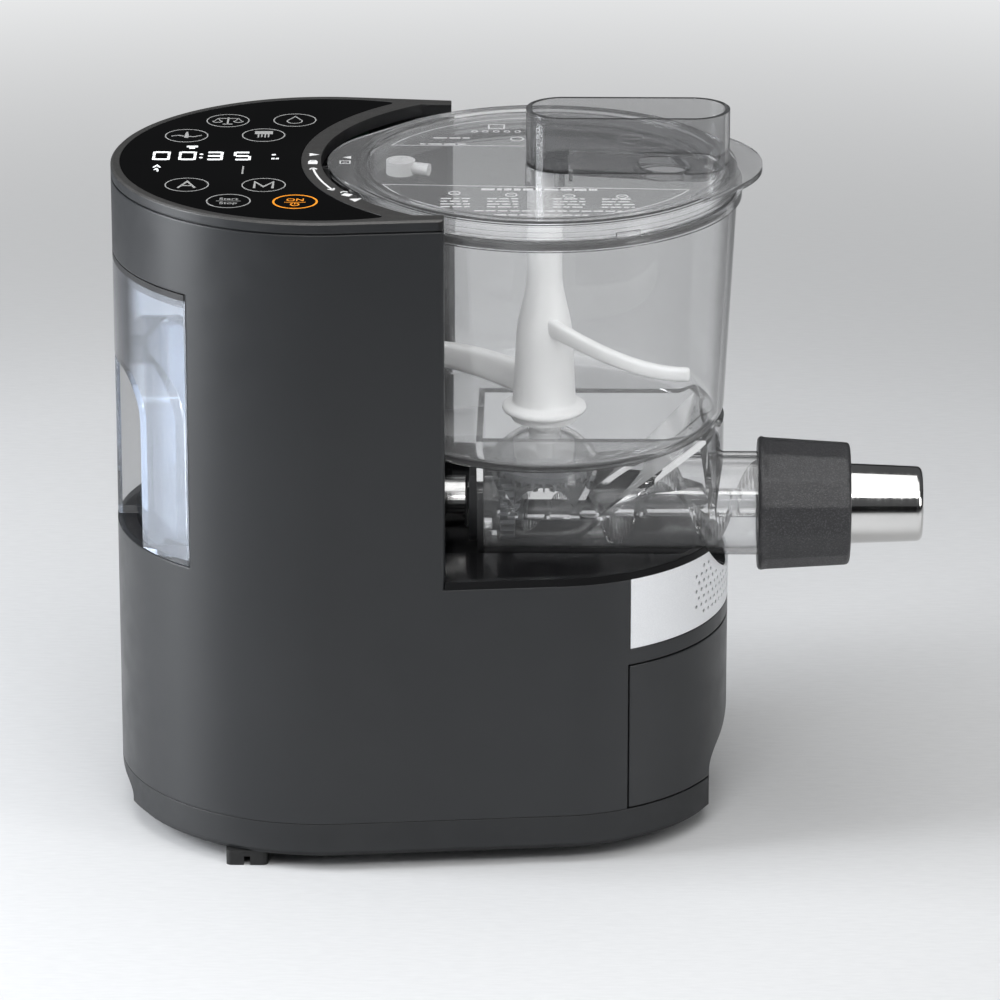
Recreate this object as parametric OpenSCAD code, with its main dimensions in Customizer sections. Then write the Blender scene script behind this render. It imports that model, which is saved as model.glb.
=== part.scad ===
// Electric pasta maker: an egg-shaped body, a clear mixing bowl with an extruding barrel
// below it, a lid with a feed funnel, a water tank at the rear and a drawer at the front.
// Millimetres, +Z up, +X the way the pasta comes out. The origin lies on the table, midway
// between the rear of the body and the tip of the nozzle.

/* [Body] */
// Radius of the body's rear end
rear_r = 100; // [97:0.5:106]
// Radius of the body's front end, about the bowl's axis
front_r = 89; // [87:0.5:92]
// Distance from the rear end's centre to the bowl's axis
round_gap = 105.7; // [104:0.1:116]
// Height of the top cover's upper face
body_h = 325; // [321:1:345]
// Height of the deck's rim
deck_h = 146; // [143:0.5:148]
// How far behind the bowl's axis the tall part of the body ends
cut_back = 46; // [42:0.5:48]
// Wall of the housing
wall = 3; // [2.2:0.1:3.4]
// Radius of the edges of the tall part's front face
edge_r = 2.5; // [1:0.5:3]
// Height of the feet
foot_h = 7.5; // [6:0.5:10]
// Height of the base pan
base_h = 17; // [15:0.5:20]
// Height of the step under the base pan's skirt
lip_h = 2.5; // [1.5:0.5:3]
// How far the step lies inside the skirt
lip_in = 2.5; // [1.5:0.5:4]
// How far the front grip recess is cut back at the base
grip_depth = 8.7; // [5:0.1:10]
// How far the rear grip recess is cut back at the base
rear_grip_depth = 7.2; // [4:0.1:8]

/* [Top cover and panel] */
// Thickness of the top cover
cover_t = 6; // [4.5:0.5:7]
// Height and depth of the shadow gap under the top cover
shadow_gap = 1; // [0.6:0.1:1.4]
// Bevel of the top cover's outer edge
cover_bevel = 1; // [0.5:0.1:1.5]
// Thickness of the glass panel
glass_t = 2.5; // [2:0.1:3]
// Width of the top cover's rim outside the glass
rim_w = 4.5; // [3.5:0.1:6]
// Width of the band between the glass and the lid's notch
band_w = 9.5; // [8:0.1:12]
// Radius of the glass panel's two tips
tip_r = 2; // [1.5:0.1:3]

/* [Mixing bowl] */
// Outside radius of the bowl just under its rim
bowl_r = 91.5; // [90.5:0.1:92]
// Outside radius of the bowl at its floor
bowl_foot_r = 86.2; // [84:0.1:88]
// Wall of the bowl
bowl_t = 3; // [2.4:0.1:3.4]
// Height of the underside of the bowl's floor above the barrel's axis
floor_rise = 43; // [42:0.5:46]
// Height of the bowl's rim above the underside of its floor
bowl_depth = 119; // [112:1:124]
// Radius of the corner between the bowl's wall and its floor
floor_round = 12; // [8:0.5:16]
// Half the width of the hopper at the bowl's floor
hopper_w = 36; // [33:0.5:38]
// How far the hopper reaches in front of the bowl's axis
hopper_reach = 75; // [70:0.5:76]
// How far the hopper's slanted end runs back towards the barrel
hopper_slant = 42; // [38:0.5:44]
// How far the rim stands out from the wall
rim_out = 2; // [1.5:0.1:3]
// Height of the rim
rim_h = 4.6; // [3.6:0.1:6]
// Outside radius of the extruding barrel
barrel_r = 25; // [24.5:0.1:26]
// Wall of the extruding barrel
barrel_t = 3; // [2.4:0.1:3.4]
// Height of the barrel's axis above the deck's rim
barrel_rise = 5.5; // [4.5:0.5:8]
// Length of the barrel in front of the bowl's axis
barrel_front = 128; // [124:1:136]
// Length of the barrel behind the bowl's axis
barrel_back = 32; // [31:0.5:34]
// Outside radius of the gear dome
dome_r = 28.2; // [27.8:0.1:29]

/* [Auger and paddle] */
// Pitch of the auger's flight
auger_pitch = 45; // [36:1:56]
// Radius of the auger's core
core_r = 7; // [6.5:0.1:8]
// Running gap between the auger and the barrel
auger_gap = 1.2; // [0.8:0.1:1.6]
// Width of the flight along the auger
flight_w = 5; // [4:0.5:7]
// Radius of the paddle's neck
neck_r = 8.4; // [8:0.1:9]
// Radius of the paddle's hub at its foot
hub_r = 15; // [14:0.1:16]
// Radius of the paddle's collar
collar_r = 20.2; // [18:0.1:22]
// Reach of the paddle's arms from the axis
arm_reach = 76; // [68:1:80]
// Height of the paddle's collar above the gear dome
paddle_rise = 7.5; // [7:0.5:9]
// Number of teeth on the paddle's crown gear
crown_teeth = 24; // [24]
// Number of teeth on the auger's pinion
pinion_teeth = 22; // [22]

/* [Lid and funnel] */
// Radius of the lid
lid_r = 91.5; // [90:0.1:92]
// Reach of the lid's two noses from the axis
nose_reach = 103; // [100:0.5:105]
// Radius of the round end of each nose
nose_r = 58.4; // [54:0.1:64]
// Thickness of the lid's flange
flange_t = 2.9; // [2.4:0.1:3.2]
// Height of the lid's skirt
skirt_h = 6.9; // [6:0.1:8]
// Length of the funnel
funnel_l = 96.5; // [90:0.5:99]
// Width of the funnel
funnel_w = 36; // [34:0.5:40]
// Height of the funnel above the lid
funnel_h = 27; // [22:0.5:34]
// Wall of the funnel
funnel_t = 2.2; // [1.8:0.1:2.6]
// How far the funnel's rear end lies behind the bowl's axis
funnel_back = 9; // [8:0.5:12]
// How far the funnel's middle lies towards the right-hand side
funnel_side = 2.5; // [0:0.5:4]
// Radius of the feed hole
feed_r = 13; // [11:0.5:14]

/* [Nozzle and locking ring] */
// Outside radius of the locking ring at its rear end
ring_r = 32.3; // [31.5:0.1:34]
// Outside radius of the locking ring at its front end
ring_front_r = 29.9; // [29.4:0.1:31]
// Length of the locking ring
ring_l = 44.5; // [43:0.5:48]
// Number of shallow flutes round the locking ring
flutes = 8; // [6:1:12]
// Outside radius of the nozzle at the locking ring
nozzle_r = 19.8; // [19:0.1:20.4]
// Outside radius of the nozzle at its tip
tip_nozzle_r = 18.1; // [17.6:0.1:18.6]
// How far the nozzle's tip lies in front of the bowl's axis
nozzle_reach = 182.3; // [178:0.1:188]
// Wall of the nozzle
nozzle_t = 1.5; // [1.2:0.1:1.8]

/* [Water tank] */
// Width of the tank's window
tank_w = 157; // [150:0.5:160]
// Height of the tank
tank_h = 135; // [125:1:139]
// Depth of the tank from its rear face
tank_d = 45; // [42:0.5:46]
// Wall of the tank
tank_t = 2.2; // [1.8:0.1:2.6]
// Height of the tank's underside above the deck's rim
tank_rise = 1.6; // [1:0.1:3]
// Width of the finger recess
finger_w = 106; // [96:1:112]
// Height of the finger recess
finger_h = 84; // [70:1:92]
// Depth of the finger recess
finger_d = 14; // [10:0.5:16]
// Gap round the tank in its window
tank_gap = 0.6; // [0.4:0.1:1]

/* [Front plate and drawer] */
// Angle from the middle to each side edge of the plate and the drawer
front_angle = 62.3; // [58:0.1:63]
// Height of the vent plate below the deck's tray
plate_h = 35.5; // [34:0.1:36]
// Thickness of the vent plate
plate_t = 1.2; // [1:0.1:1.5]
// Radius of the holes in the vent plate
hole_r = 0.95; // [0.7:0.05:1.2]
// Distance between the holes in the vent plate
hole_pitch = 4.5; // [4.2:0.1:6]
// Height of the field of holes
field_h = 26; // [20:1:27]
// Width of the field of holes round the front
field_w = 114; // [100:1:120]
// Height of the drawer's front
drawer_h = 72.5; // [68:0.5:73]
// Gap round the drawer's front
drawer_gap = 0.9; // [0.6:0.1:1.2]
// Width of the drawer's tray
tray_w = 124; // [116:1:128]
// Depth of the drawer's tray behind the bowl's axis
tray_back = 34; // [20:1:36]
// Wall of the drawer's tray
tray_t = 2; // [1.6:0.1:2.6]
// Radius of the spare shaping discs
spare_r = 19; // [17:0.5:20]
// Thickness of the spare shaping discs
spare_t = 12; // [9:0.5:14]

/* [Drive] */
// Module of the gears in the gearbox
gear_module = 1.5; // [1.5]
// Teeth on the motor's pinion
motor_teeth = 10; // [10]
// Teeth on the layshaft's large gear
lay_teeth = 42; // [42]
// Teeth on the layshaft's pinion
lay_pinion_teeth = 12; // [12]
// Teeth on the output gear
output_teeth = 36; // [36]
// Width of the gears
gear_w = 9; // [8:0.5:10]
// Radius of the output shaft
shaft_r = 6; // [5.5:0.1:6.5]
// Radius of the chrome drive hub
hub_drive_r = 12.8; // [12:0.1:13.2]
// Radius of the motor's can
motor_r = 34; // [30:0.5:36]
// Gap between the motor's can and the housing's rear wall
motor_gap = 5.2; // [4:0.1:9]
// Running clearance of shafts in their bearings
run_gap = 0.05; // [0.02:0.01:0.1]
// Clearance between parts that lift off each other
slip_gap = 0.3; // [0.3:0.05:0.4]

/* [Hidden] */
$fn = 72;
eps = 0.01;

// A straight side starts this far inside the arcs it joins, so that it crosses them cleanly
tuck = 0.03;
far = 400;

charcoal = [0.20, 0.21, 0.22];
graphite = [0.42, 0.42, 0.42];
black = [0.06, 0.06, 0.07];
clear = [0.85, 0.88, 0.90, 0.35];
smoke = [0.45, 0.46, 0.48, 0.45];
steel = [0.80, 0.81, 0.83];
white = [0.93, 0.93, 0.92];
brass = [0.80, 0.66, 0.36];
rubber = [0.12, 0.12, 0.12];
green = [0.10, 0.35, 0.20];

// The bowl's axis, measured from the origin
bowl_x = (round_gap + rear_r - nozzle_reach) / 2;
// Angle by which the body's flat sides lean in towards the front
lean = asin((rear_r - front_r) / round_gap);
side_l = round_gap * cos(lean);

seam_z = foot_h + base_h;
shell_top = body_h - cover_t;
tray_lip = 4;
low_top = deck_h - tray_lip;
barrel_z = deck_h + barrel_rise;
floor_z = barrel_z + floor_rise;
rim_top = floor_z + bowl_depth;
lid_z = rim_top + slip_gap;
flange_z = lid_z + skirt_h;
lid_top = flange_z + flange_t;
bay_r = bowl_r + rim_out + 5;
bay_t = 2.5;
bay_top = flange_z - 7.4;
notch_r = nose_reach + 3;
horn_y = sqrt(pow(bay_r, 2) - pow(cut_back, 2));
rear_x = -round_gap - rear_r;

// ---------------------------------------------------------------- shared shapes

module on_axis() {
    translate([bowl_x, 0, 0]) children();
}

// The body's outline, moved inwards by inset
module egg(inset = 0) {
    rear = rear_r - inset;
    front = front_r - inset;
    s = sin(lean);
    c = cos(lean);
    translate([-round_gap, 0]) circle(r = rear);
    circle(r = front);
    polygon([
        [-round_gap + (rear - tuck) * s, (rear - tuck) * c],
        [(front - tuck) * s, (front - tuck) * c],
        [(front - tuck) * s, (tuck - front) * c],
        [-round_gap + (rear - tuck) * s, (tuck - rear) * c]
    ]);
}

// Sweeps a profile round the body's outline: its x is measured outwards from the outline. The
// arcs run on a little past their ends, and the straight sides start a little late.
module around_egg() {
    over = 1.5;
    translate([-round_gap, 0, 0]) rotate([0, 0, 90 - lean - over])
        rotate_extrude(angle = 180 + 2 * lean + 2 * over) translate([rear_r, 0]) children();
    rotate([0, 0, lean - 90 - over])
        rotate_extrude(angle = 180 - 2 * lean + 2 * over) translate([front_r, 0]) children();
    for (side = [0, 1]) mirror([0, side, 0]) rotate([0, 0, -lean]) multmatrix([
        [0, 0, 1, over - side_l], [1, 0, 0, 0], [0, 1, 0, 0], [0, 0, 0, 1]
    ]) linear_extrude(height = side_l - 2 * over) translate([front_r, 0]) children();
}

module behind(x) {
    translate([x - far, -far / 2]) square([far, far]);
}

module before(x) {
    translate([x, -far / 2]) square([far, far]);
}

// A slice of pie about the +X direction, half_angle to each side
module wedge(half_angle) {
    polygon([[0, 0], [far * cos(half_angle), -far * sin(half_angle)], [far * 1.5, 0],
        [far * cos(half_angle), far * sin(half_angle)]]);
}

module tube(outer, inner, h) {
    difference() {
        cylinder(r = outer, h = h);
        translate([0, 0, -1]) cylinder(r = inner, h = h + 2);
    }
}

// A cylinder along +X that starts at x
module rod_x(x, r, l, front = -1) {
    translate([x, 0, barrel_z]) rotate([0, 90, 0])
        cylinder(r1 = r, r2 = front < 0 ? r : front, h = l);
}

// A stadium outline of the given length along X, which starts at x = 0
module stadium(l, w) {
    translate([w / 2, 0]) circle(r = w / 2);
    translate([l - w / 2, 0]) circle(r = w / 2);
    translate([w / 2, -w / 2]) square([l - w, w]);
}

module rounded_box(size, r) {
    linear_extrude(height = size[2]) rounded_square([size[0], size[1]], r);
}

module rounded_square(size, r) {
    for (x = [r, size[0] - r], y = [r, size[1] - r]) translate([x, y]) circle(r = r);
    translate([r, 0]) square([size[0] - 2 * r, size[1]]);
    translate([0, r]) square([size[0], size[1] - 2 * r]);
}

// The grip recess at one end of the base, seen along Y: everything past the face at x = 0,
// which leads out through two equal arcs to x = depth at the height rise above bottom
module grip_profile(depth, bottom, rise, steps = 8) {
    bend = (depth * depth + rise * rise) / (4 * depth);
    turn = asin(rise / (2 * bend)) / steps;
    polygon(concat(
        [[0, -far / 4], [far / 4, -far / 4], [far / 4, bottom + rise]],
        [for (i = [0 : steps]) [
            depth - bend + bend * cos(i * turn), bottom + rise - bend * sin(i * turn)
        ]],
        [for (i = [steps - 1 : -1 : 0]) [
            bend - bend * cos(i * turn), bottom + bend * sin(i * turn)
        ]]
    ));
}

module front_grip(inset = 0) {
    translate([front_r - grip_depth - inset, far / 4, 0]) rotate([90, 0, 0])
        linear_extrude(height = far / 2) grip_profile(grip_depth, seam_z + 3, 24);
}

module rear_grip(inset = 0) {
    translate([rear_x + rear_grip_depth + inset, far / 4, 0]) mirror([1, 0, 0])
        rotate([90, 0, 0]) linear_extrude(height = far / 2)
            grip_profile(rear_grip_depth, foot_h + lip_h + 2, base_h - lip_h - 1);
}

// ---------------------------------------------------------------- housing

tank_z = deck_h + tank_rise;
tank_x = rear_x + tank_d;
plate_z = low_top - plate_h;
drawer_top = seam_z + drawer_gap + drawer_h;

module housing_shell() {
    color(charcoal) on_axis() difference() {
        union() {
            translate([0, 0, seam_z]) linear_extrude(height = low_top - seam_z) egg();
            translate([0, 0, seam_z]) linear_extrude(height = shell_top - seam_z)
                tall_plan(0);
        }
        translate([0, 0, seam_z - 1]) linear_extrude(height = low_top - seam_z + 2)
            egg(wall);
        translate([0, 0, low_top]) linear_extrude(height = far) intersection() {
            egg(wall);
            behind(-cut_back - wall);
        }
        translate([0, 0, low_top]) cylinder(r = bay_r, h = far);
        translate([0, 0, seam_z]) around_egg()
            polygon([[-0.6, -eps], [1, -eps], [1, 0.7]]);
        tank_window();
        vent_window();
        drawer_window();
        cord_hole();
    }
    color(charcoal) on_axis() difference() {
        translate([0, 0, seam_z]) linear_extrude(height = 16) intersection() {
            egg(wall - 0.5);
            for (at = boss_at) union() {
                translate([at[0], at[1]]) circle(r = boss_r);
                translate([at[0] - 1.5, at[1] > 0 ? at[1] : at[1] - 9]) square([3, 9]);
            }
        }
        for (at = boss_at) translate([at[0], at[1], seam_z - 1]) cylinder(r = 1.5, h = 12);
    }
}

// Plan of the tall part, with rounded edges on its front face
module tall_plan(inset) {
    intersection() {
        egg(inset);
        union() {
            behind(-cut_back - edge_r);
            square([2 * (cut_back + edge_r), 2 * (edge_y() - edge_r)], center = true);
            for (side = [-1, 1]) translate([-cut_back - edge_r, side * (edge_y() - edge_r)])
                circle(r = edge_r);
        }
        behind(-cut_back);
    }
}

// Half the body's width at the tall part's front face
function edge_y() = front_r / cos(lean) + (cut_back + edge_r) * tan(lean);

module tank_window() {
    translate([-far, -tank_w / 2 - tank_gap, tank_z - tank_gap])
        cube([far - round_gap, tank_w + 2 * tank_gap, tank_h + 2 * tank_gap]);
}

// The vent plate lies in a pocket, with a smaller window behind it
module vent_window() {
    translate([0, 0, plate_z]) linear_extrude(height = far) difference() {
        intersection() {
            wedge(front_angle);
            circle(r = far / 2);
        }
        circle(r = front_r - plate_t);
    }
    translate([0, 0, plate_z + 3]) linear_extrude(height = far)
        intersection() {
            wedge(front_angle - 4);
            circle(r = front_r + 1);
        }
}

module drawer_window() {
    translate([0, 0, seam_z - 1]) linear_extrude(height = drawer_top + drawer_gap - seam_z + 1)
        wedge(front_angle + front_gap_angle);
}

front_gap_angle = drawer_gap / front_r * 180 / PI;

cord_back = 50;
cord_z = seam_z + 14;
cord_r = 8;

// A place on the flat of the left-hand side, with +Z outwards and z = 0 just off its inner face
module cord_place() {
    rotate([0, 0, -lean]) translate([-cord_back, front_r - wall - 0.04, cord_z])
        rotate([-90, 0, 0]) children();
}

module cord_hole() {
    cord_place() translate([0, 0, -5]) cylinder(r = cord_r, h = far);
}

module top_cover() {
    color(graphite) on_axis() difference() {
        union() {
            translate([0, 0, shell_top + shadow_gap])
                linear_extrude(height = cover_t - shadow_gap) difference() {
                    tall_plan(0);
                    notch_plan();
                }
            translate([0, 0, shell_top]) linear_extrude(height = shadow_gap + eps)
                difference() {
                    tall_plan(shadow_gap);
                    notch_plan();
                    translate([1 - cut_back - 2 * shadow_gap, -far / 2])
                        square([far, far]);
                }
            translate([0, 0, shell_top - 6]) linear_extrude(height = 6 + eps) difference() {
                intersection() {
                    egg(wall + 0.1);
                    behind(-notch_r + 8);
                }
                egg(wall + 2.1);
                circle(r = notch_r + 3);
            }
        }
        translate([0, 0, body_h]) around_egg()
            polygon([[-cover_bevel, eps], [1, eps], [1, -cover_bevel - 1]]);
        translate([0, 0, body_h - glass_t - 0.1]) linear_extrude(height = far)
            panel_plan(0.2);
        translate([-round_gap - rear_r + 12, -13, shell_top - 1])
            cube([66, 30, cover_t]);
    }
}

module notch_plan() {
    intersection() {
        circle(r = notch_r);
        square([far, 2 * horn_y], center = true);
    }
}

// The crescent of the glass panel, grown by grow, with its two tips rounded
module panel_plan(grow = 0) {
    outer = rear_r - rim_w + grow;
    inner = notch_r + band_w - grow;
    round = tip_r + grow;
    reach = outer - round;
    swing = inner + round;
    tip_x = (pow(reach, 2) - pow(swing, 2) - pow(round_gap, 2)) / (2 * round_gap);
    tip_y = sqrt(pow(swing, 2) - pow(tip_x, 2));
    rear_p = [tip_x + round * (tip_x + round_gap) / reach, tip_y + round * tip_y / reach];
    front_p = [tip_x - round * tip_x / swing, tip_y - round * tip_y / swing];
    difference() {
        translate([-round_gap, 0]) circle(r = outer);
        circle(r = inner);
        for (side = [0, 1]) mirror([0, side])
            polygon([rear_p, front_p, front_p + [60, 20], rear_p + [60, 60]]);
    }
    for (side = [-1, 1]) translate([tip_x, side * tip_y]) circle(r = round - 0.03);
}

module control_panel() {
    color(black) on_axis() translate([0, 0, body_h - glass_t - 0.1])
        linear_extrude(height = glass_t) panel_plan(0);
}

board_z = shell_top - 8;

module control_board() {
    color(green) on_axis() {
        translate([0, 0, board_z]) linear_extrude(height = 1.6) difference() {
            translate([-round_gap, 0]) circle(r = rear_r - 14);
            circle(r = notch_r + 14);
        }
        translate([-round_gap - rear_r + 13, -12, board_z + 1.6])
            cube([64, 28, body_h - glass_t - 0.1 - board_z - 1.6]);
        for (side = [-1, 1], x = [-round_gap - 60, -round_gap - 18])
            translate([x, side * 46, board_z + 1.6])
                cylinder(r = 3, h = shell_top - board_z - 1.6);
    }
}

// The concave wall behind the bowl, its ledge under the lid's nose and the block that
// carries the drive shaft
drive_face = 50;
drive_w = 84;
drive_top = barrel_rise + 19;

module bowl_bay() {
    color(black) on_axis() difference() {
        union() {
            translate([0, 0, bay_floor]) linear_extrude(height = bay_top - bay_floor)
                intersection() {
                    circle(r = bay_r + bay_t);
                    behind(-cut_back - wall);
                    egg(wall);
                }
            translate([0, 0, bay_top - 2]) linear_extrude(height = 2) intersection() {
                circle(r = notch_r + 2.5);
                behind(-cut_back - wall);
                egg(wall);
            }
        }
        translate([0, 0, bay_floor - 1]) linear_extrude(height = far) difference() {
            circle(r = bay_r);
            drive_plan();
        }
        translate([0, 0, deck_h + drive_top]) cylinder(r = bay_r, h = far);
        rod_x(-far / 2, bush_r, far / 2);
        translate([outlet_x, outlet_y, bay_top - 3]) cylinder(r = outlet_r - 0.6, h = 4);
    }
}

module drive_plan() {
    translate([-drive_face - 12, 0]) circle(r = 12);
    difference() {
        translate([-bay_r, -drive_w / 2]) square([bay_r - drive_face, drive_w]);
        for (side = [0, 1]) mirror([0, side]) translate([-drive_face, drive_w / 2])
            corner_cut(12);
    }
}

// What a round of radius r takes off a corner at the origin, whose solid is at -X and -Y
module corner_cut(r) {
    difference() {
        translate([-r, -r]) square([r + 1, r + 1]);
        translate([-r, -r]) circle(r = r);
    }
}

// ---------------------------------------------------------------- deck

deck_floor = 6;
deck_t = 2;
bay_floor = deck_h - deck_floor;
trough_w = 82;
trough_depth = 19;
trough_r = (pow(trough_w / 2, 2) + pow(trough_depth, 2)) / (2 * trough_depth);
trough_z = low_top - trough_depth + trough_r;

module trough(grow = 0, back = 0) {
    translate([-drive_face - back, 0, trough_z]) rotate([0, 90, 0])
        cylinder(r = trough_r + grow, h = far, $fn = 144);
}

module deck_tray() {
    color(black) on_axis() {
        difference() {
            union() {
                tray_rim();
                translate([0, 0, bay_floor - deck_t]) linear_extrude(height = deck_t)
                    intersection() {
                        circle(r = bay_r + bay_t);
                        egg(wall + 0.1);
                    }
                intersection() {
                    trough(2, 2);
                    translate([0, 0, low_top - trough_depth - 2])
                        linear_extrude(height = bay_floor - 0.5 - low_top + trough_depth + 2)
                            egg(plate_t + 0.2);
                }
            }
            trough();
        }
        saddle();
    }
}

module tray_rim() {
    difference() {
        union() {
            translate([0, 0, low_top]) linear_extrude(height = tray_lip) intersection() {
                egg();
                before(-cut_back);
            }
            translate([0, 0, low_top - 5]) linear_extrude(height = 5 + eps) intersection() {
                egg(wall + 0.1);
                before(-cut_back);
            }
        }
        translate([0, 0, low_top - 6]) linear_extrude(height = far) egg(wall + 2.1);
        translate([0, 0, low_top]) linear_extrude(height = far) egg(wall + 0.6);
    }
}

// The rib that carries the barrel near the front rim
saddle_x = 58;
saddle_l = 22;

module saddle() {
    difference() {
        translate([saddle_x, -14, barrel_z - barrel_r - 6]) cube([saddle_l, 28, 16]);
        translate([saddle_x - 1, 0, barrel_z]) rotate([0, 90, 0])
            cylinder(r = barrel_r + slip_gap, h = saddle_l + 2);
        difference() {
            translate([saddle_x - 1, -20, 0]) cube([saddle_l + 2, 40, barrel_z]);
            trough(1);
        }
    }
}

module vent_plate() {
    rows = floor(field_h / (hole_pitch * sin(60)) / 2);
    cols = floor(field_w / hole_pitch / 2);
    mid_z = plate_z + field_h / 2 + 5.5;
    color(steel) on_axis() difference() {
        translate([0, 0, plate_z + 0.3]) linear_extrude(height = plate_h - 0.3)
            intersection() {
                difference() {
                    circle(r = front_r, $fn = 144);
                    circle(r = front_r - plate_t, $fn = 144);
                }
                wedge(front_angle - 0.2);
            }
        trough();
        for (row = [-rows : rows], col = [-cols : cols])
            let (
                z = row * hole_pitch * sin(60),
                s = (col + abs(row % 2) / 2) * hole_pitch,
                past = max(0, abs(s) - (field_w - field_h) / 2)
            )
            if (norm([past, z]) <= field_h / 2 && hole_clear(s, mid_z + z))
                rotate([0, 0, s / front_r * 180 / PI]) translate([front_r - 3, 0, mid_z + z])
                    rotate([0, 90, 0]) cylinder(r = hole_r, h = 6, $fn = 16);
    }
}

// Whether a hole at the arc length s and the height z stays clear of the trough
function hole_clear(s, z) = let (y = front_r * sin(s / front_r * 180 / PI))
    norm([y, z - trough_z]) > trough_r + 2 * hole_r + 0.6;

// ---------------------------------------------------------------- base

foot_at = [
    for (side = [1, -1]) [-round_gap - 35.3, side * (rear_r - 15)],
    for (side = [1, -1]) [front_r - 43, side * 38]
];
base_t = 4;
foot_l = 20;
foot_w = 14;
slot_w = 3;
stem_r = 4;
boss_r = 4.5;
boss_in = wall + 4.2;
boss_at = [for (side = [1, -1]) each [
    [-round_gap - (rear_r - boss_in) * cos(30), side * (rear_r - boss_in) * sin(30)],
    [-72, side * (front_r / cos(lean) + 72 * tan(lean) - boss_in - 0.7)],
    [(front_r - boss_in) * cos(70), side * (front_r - boss_in) * sin(70)]
]];

// The base's outline, cut back at the front under the drawer's grip
module base_plan(inset = 0, back = 0) {
    difference() {
        egg(inset);
        before(front_r - grip_depth - back);
    }
}

module base_pan() {
    color(charcoal) on_axis() difference() {
        union() {
            difference() {
                union() {
                    translate([0, 0, foot_h]) linear_extrude(height = lip_h + eps)
                        base_plan(lip_in);
                    translate([0, 0, foot_h + lip_h]) linear_extrude(height = base_h - lip_h)
                        base_plan();
                }
                difference() {
                    translate([0, 0, foot_h + base_t]) linear_extrude(height = base_h)
                        base_plan(wall, wall);
                    rear_grip(wall);
                }
            }
            for (at = boss_at) translate([at[0], at[1], foot_h + 1])
                cylinder(r = boss_r, h = base_h - 1);
            for (x = [-14, 20]) translate([x, -56, foot_h + 1]) cube([3, 112, base_h - 1]);
        }
        rear_grip();
        for (at = foot_at) translate([at[0], at[1], foot_h - 1])
            cylinder(r = stem_r + 0.3, h = base_t + 2);
        for (at = boss_at) translate([at[0], at[1], foot_h - 1]) {
            cylinder(r = 1.6, h = base_h + 2);
            cylinder(r = 3.2, h = 3.2);
        }
        for (i = [-4 : 4]) translate([-round_gap - 52, i * 8 - 1.5, foot_h - 1])
            cube([40, 3, base_t + 2]);
    }
}

module feet() {
    color(rubber) on_axis() for (at = foot_at) translate([at[0], at[1], 0]) {
        difference() {
            translate([-foot_l / 2, -foot_w / 2, 0])
                rounded_box([foot_l, foot_w, foot_h], 2.5);
            translate([-slot_w / 2, -foot_w, -1]) cube([slot_w, 2 * foot_w, foot_h * 0.6 + 1]);
        }
        translate([0, 0, foot_h - eps]) cylinder(r = stem_r, h = base_t + 1);
    }
}

cell_h = 5;

cell_l = 32;
cell_w = 10;

module load_cells() {
    color(steel) on_axis() for (at = foot_at)
        translate([at[0], at[1], foot_h + base_t]) mirror([0, at[1] > 0 ? 1 : 0, 0])
            difference() {
                translate([-cell_w / 2, -2, 0]) cube([cell_w, cell_l, cell_h + 1]);
                translate([-cell_w, -3, -1]) cube([2 * cell_w, cell_l - 5, 2]);
                translate([0, cell_l / 2 - 2, -1]) cylinder(r = 3, h = cell_h + 4);
            }
}

module base_screws() {
    color(steel) on_axis() for (at = boss_at) translate([at[0], at[1], foot_h + 1]) {
        difference() {
            cylinder(r = 2.9, h = 1.2);
            for (a = [0, 90]) rotate([0, 0, a]) translate([-2, -0.4, -1]) cube([4, 0.8, 1.6]);
        }
        translate([0, 0, 1.2 - eps]) cylinder(r = 1.5, h = base_h + 8);
    }
}

// ---------------------------------------------------------------- bays

bay_wall = 2;

module tank_bay() {
    color(white) on_axis() difference() {
        translate([0, 0, tank_z - tank_gap - bay_wall])
            linear_extrude(height = tank_h + 2 * (tank_gap + bay_wall)) intersection() {
                translate([-round_gap, 0]) circle(r = rear_r - wall);
                translate([-far, -tank_w / 2 - tank_gap - bay_wall])
                    square([far + tank_x + tank_gap + bay_wall,
                        tank_w + 2 * (tank_gap + bay_wall)]);
            }
        translate([-far, -tank_w / 2 - tank_gap, tank_z - tank_gap])
            cube([far + tank_x + tank_gap, tank_w + 2 * tank_gap, tank_h + 2 * tank_gap]);
        translate([tank_x - 10, 0, valve_z]) rotate([0, 90, 0]) cylinder(r = 8.5, h = 20);
    }
}

valve_z = tank_z + 10;

module tank_socket() {
    color(rubber) on_axis() translate([tank_x + tank_gap, 0, valve_z]) rotate([0, 90, 0])
        difference() {
            union() {
                cylinder(r = 8.5, h = bay_wall + 2);
                translate([0, 0, bay_wall]) cylinder(r = 10, h = 6);
                translate([0, 0, bay_wall + 5]) cylinder(r = 3, h = 6);
            }
            translate([0, 0, -1]) cylinder(r = 5 + slip_gap, h = 7);
            cylinder(r = 1.6, h = 20);
        }
}

ceiling_z = drawer_top + drawer_gap;
runner_t = 1.5;

module drawer_bay() {
    color(charcoal) on_axis() difference() {
        translate([0, 0, seam_z]) linear_extrude(height = ceiling_z + bay_wall - seam_z)
            intersection() {
                circle(r = front_r - wall - 3.5);
                translate([-tray_back - 1 - bay_wall, -tray_w / 2 - 1 - bay_wall])
                    square([far, tray_w + 2 + 2 * bay_wall]);
            }
        translate([-tray_back - 1, -tray_w / 2 - 1, seam_z + runner_t])
            cube([far, tray_w + 2, ceiling_z - seam_z - runner_t]);
        front_grip(wall + 3.5);
    }
}

// ---------------------------------------------------------------- drive

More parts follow.
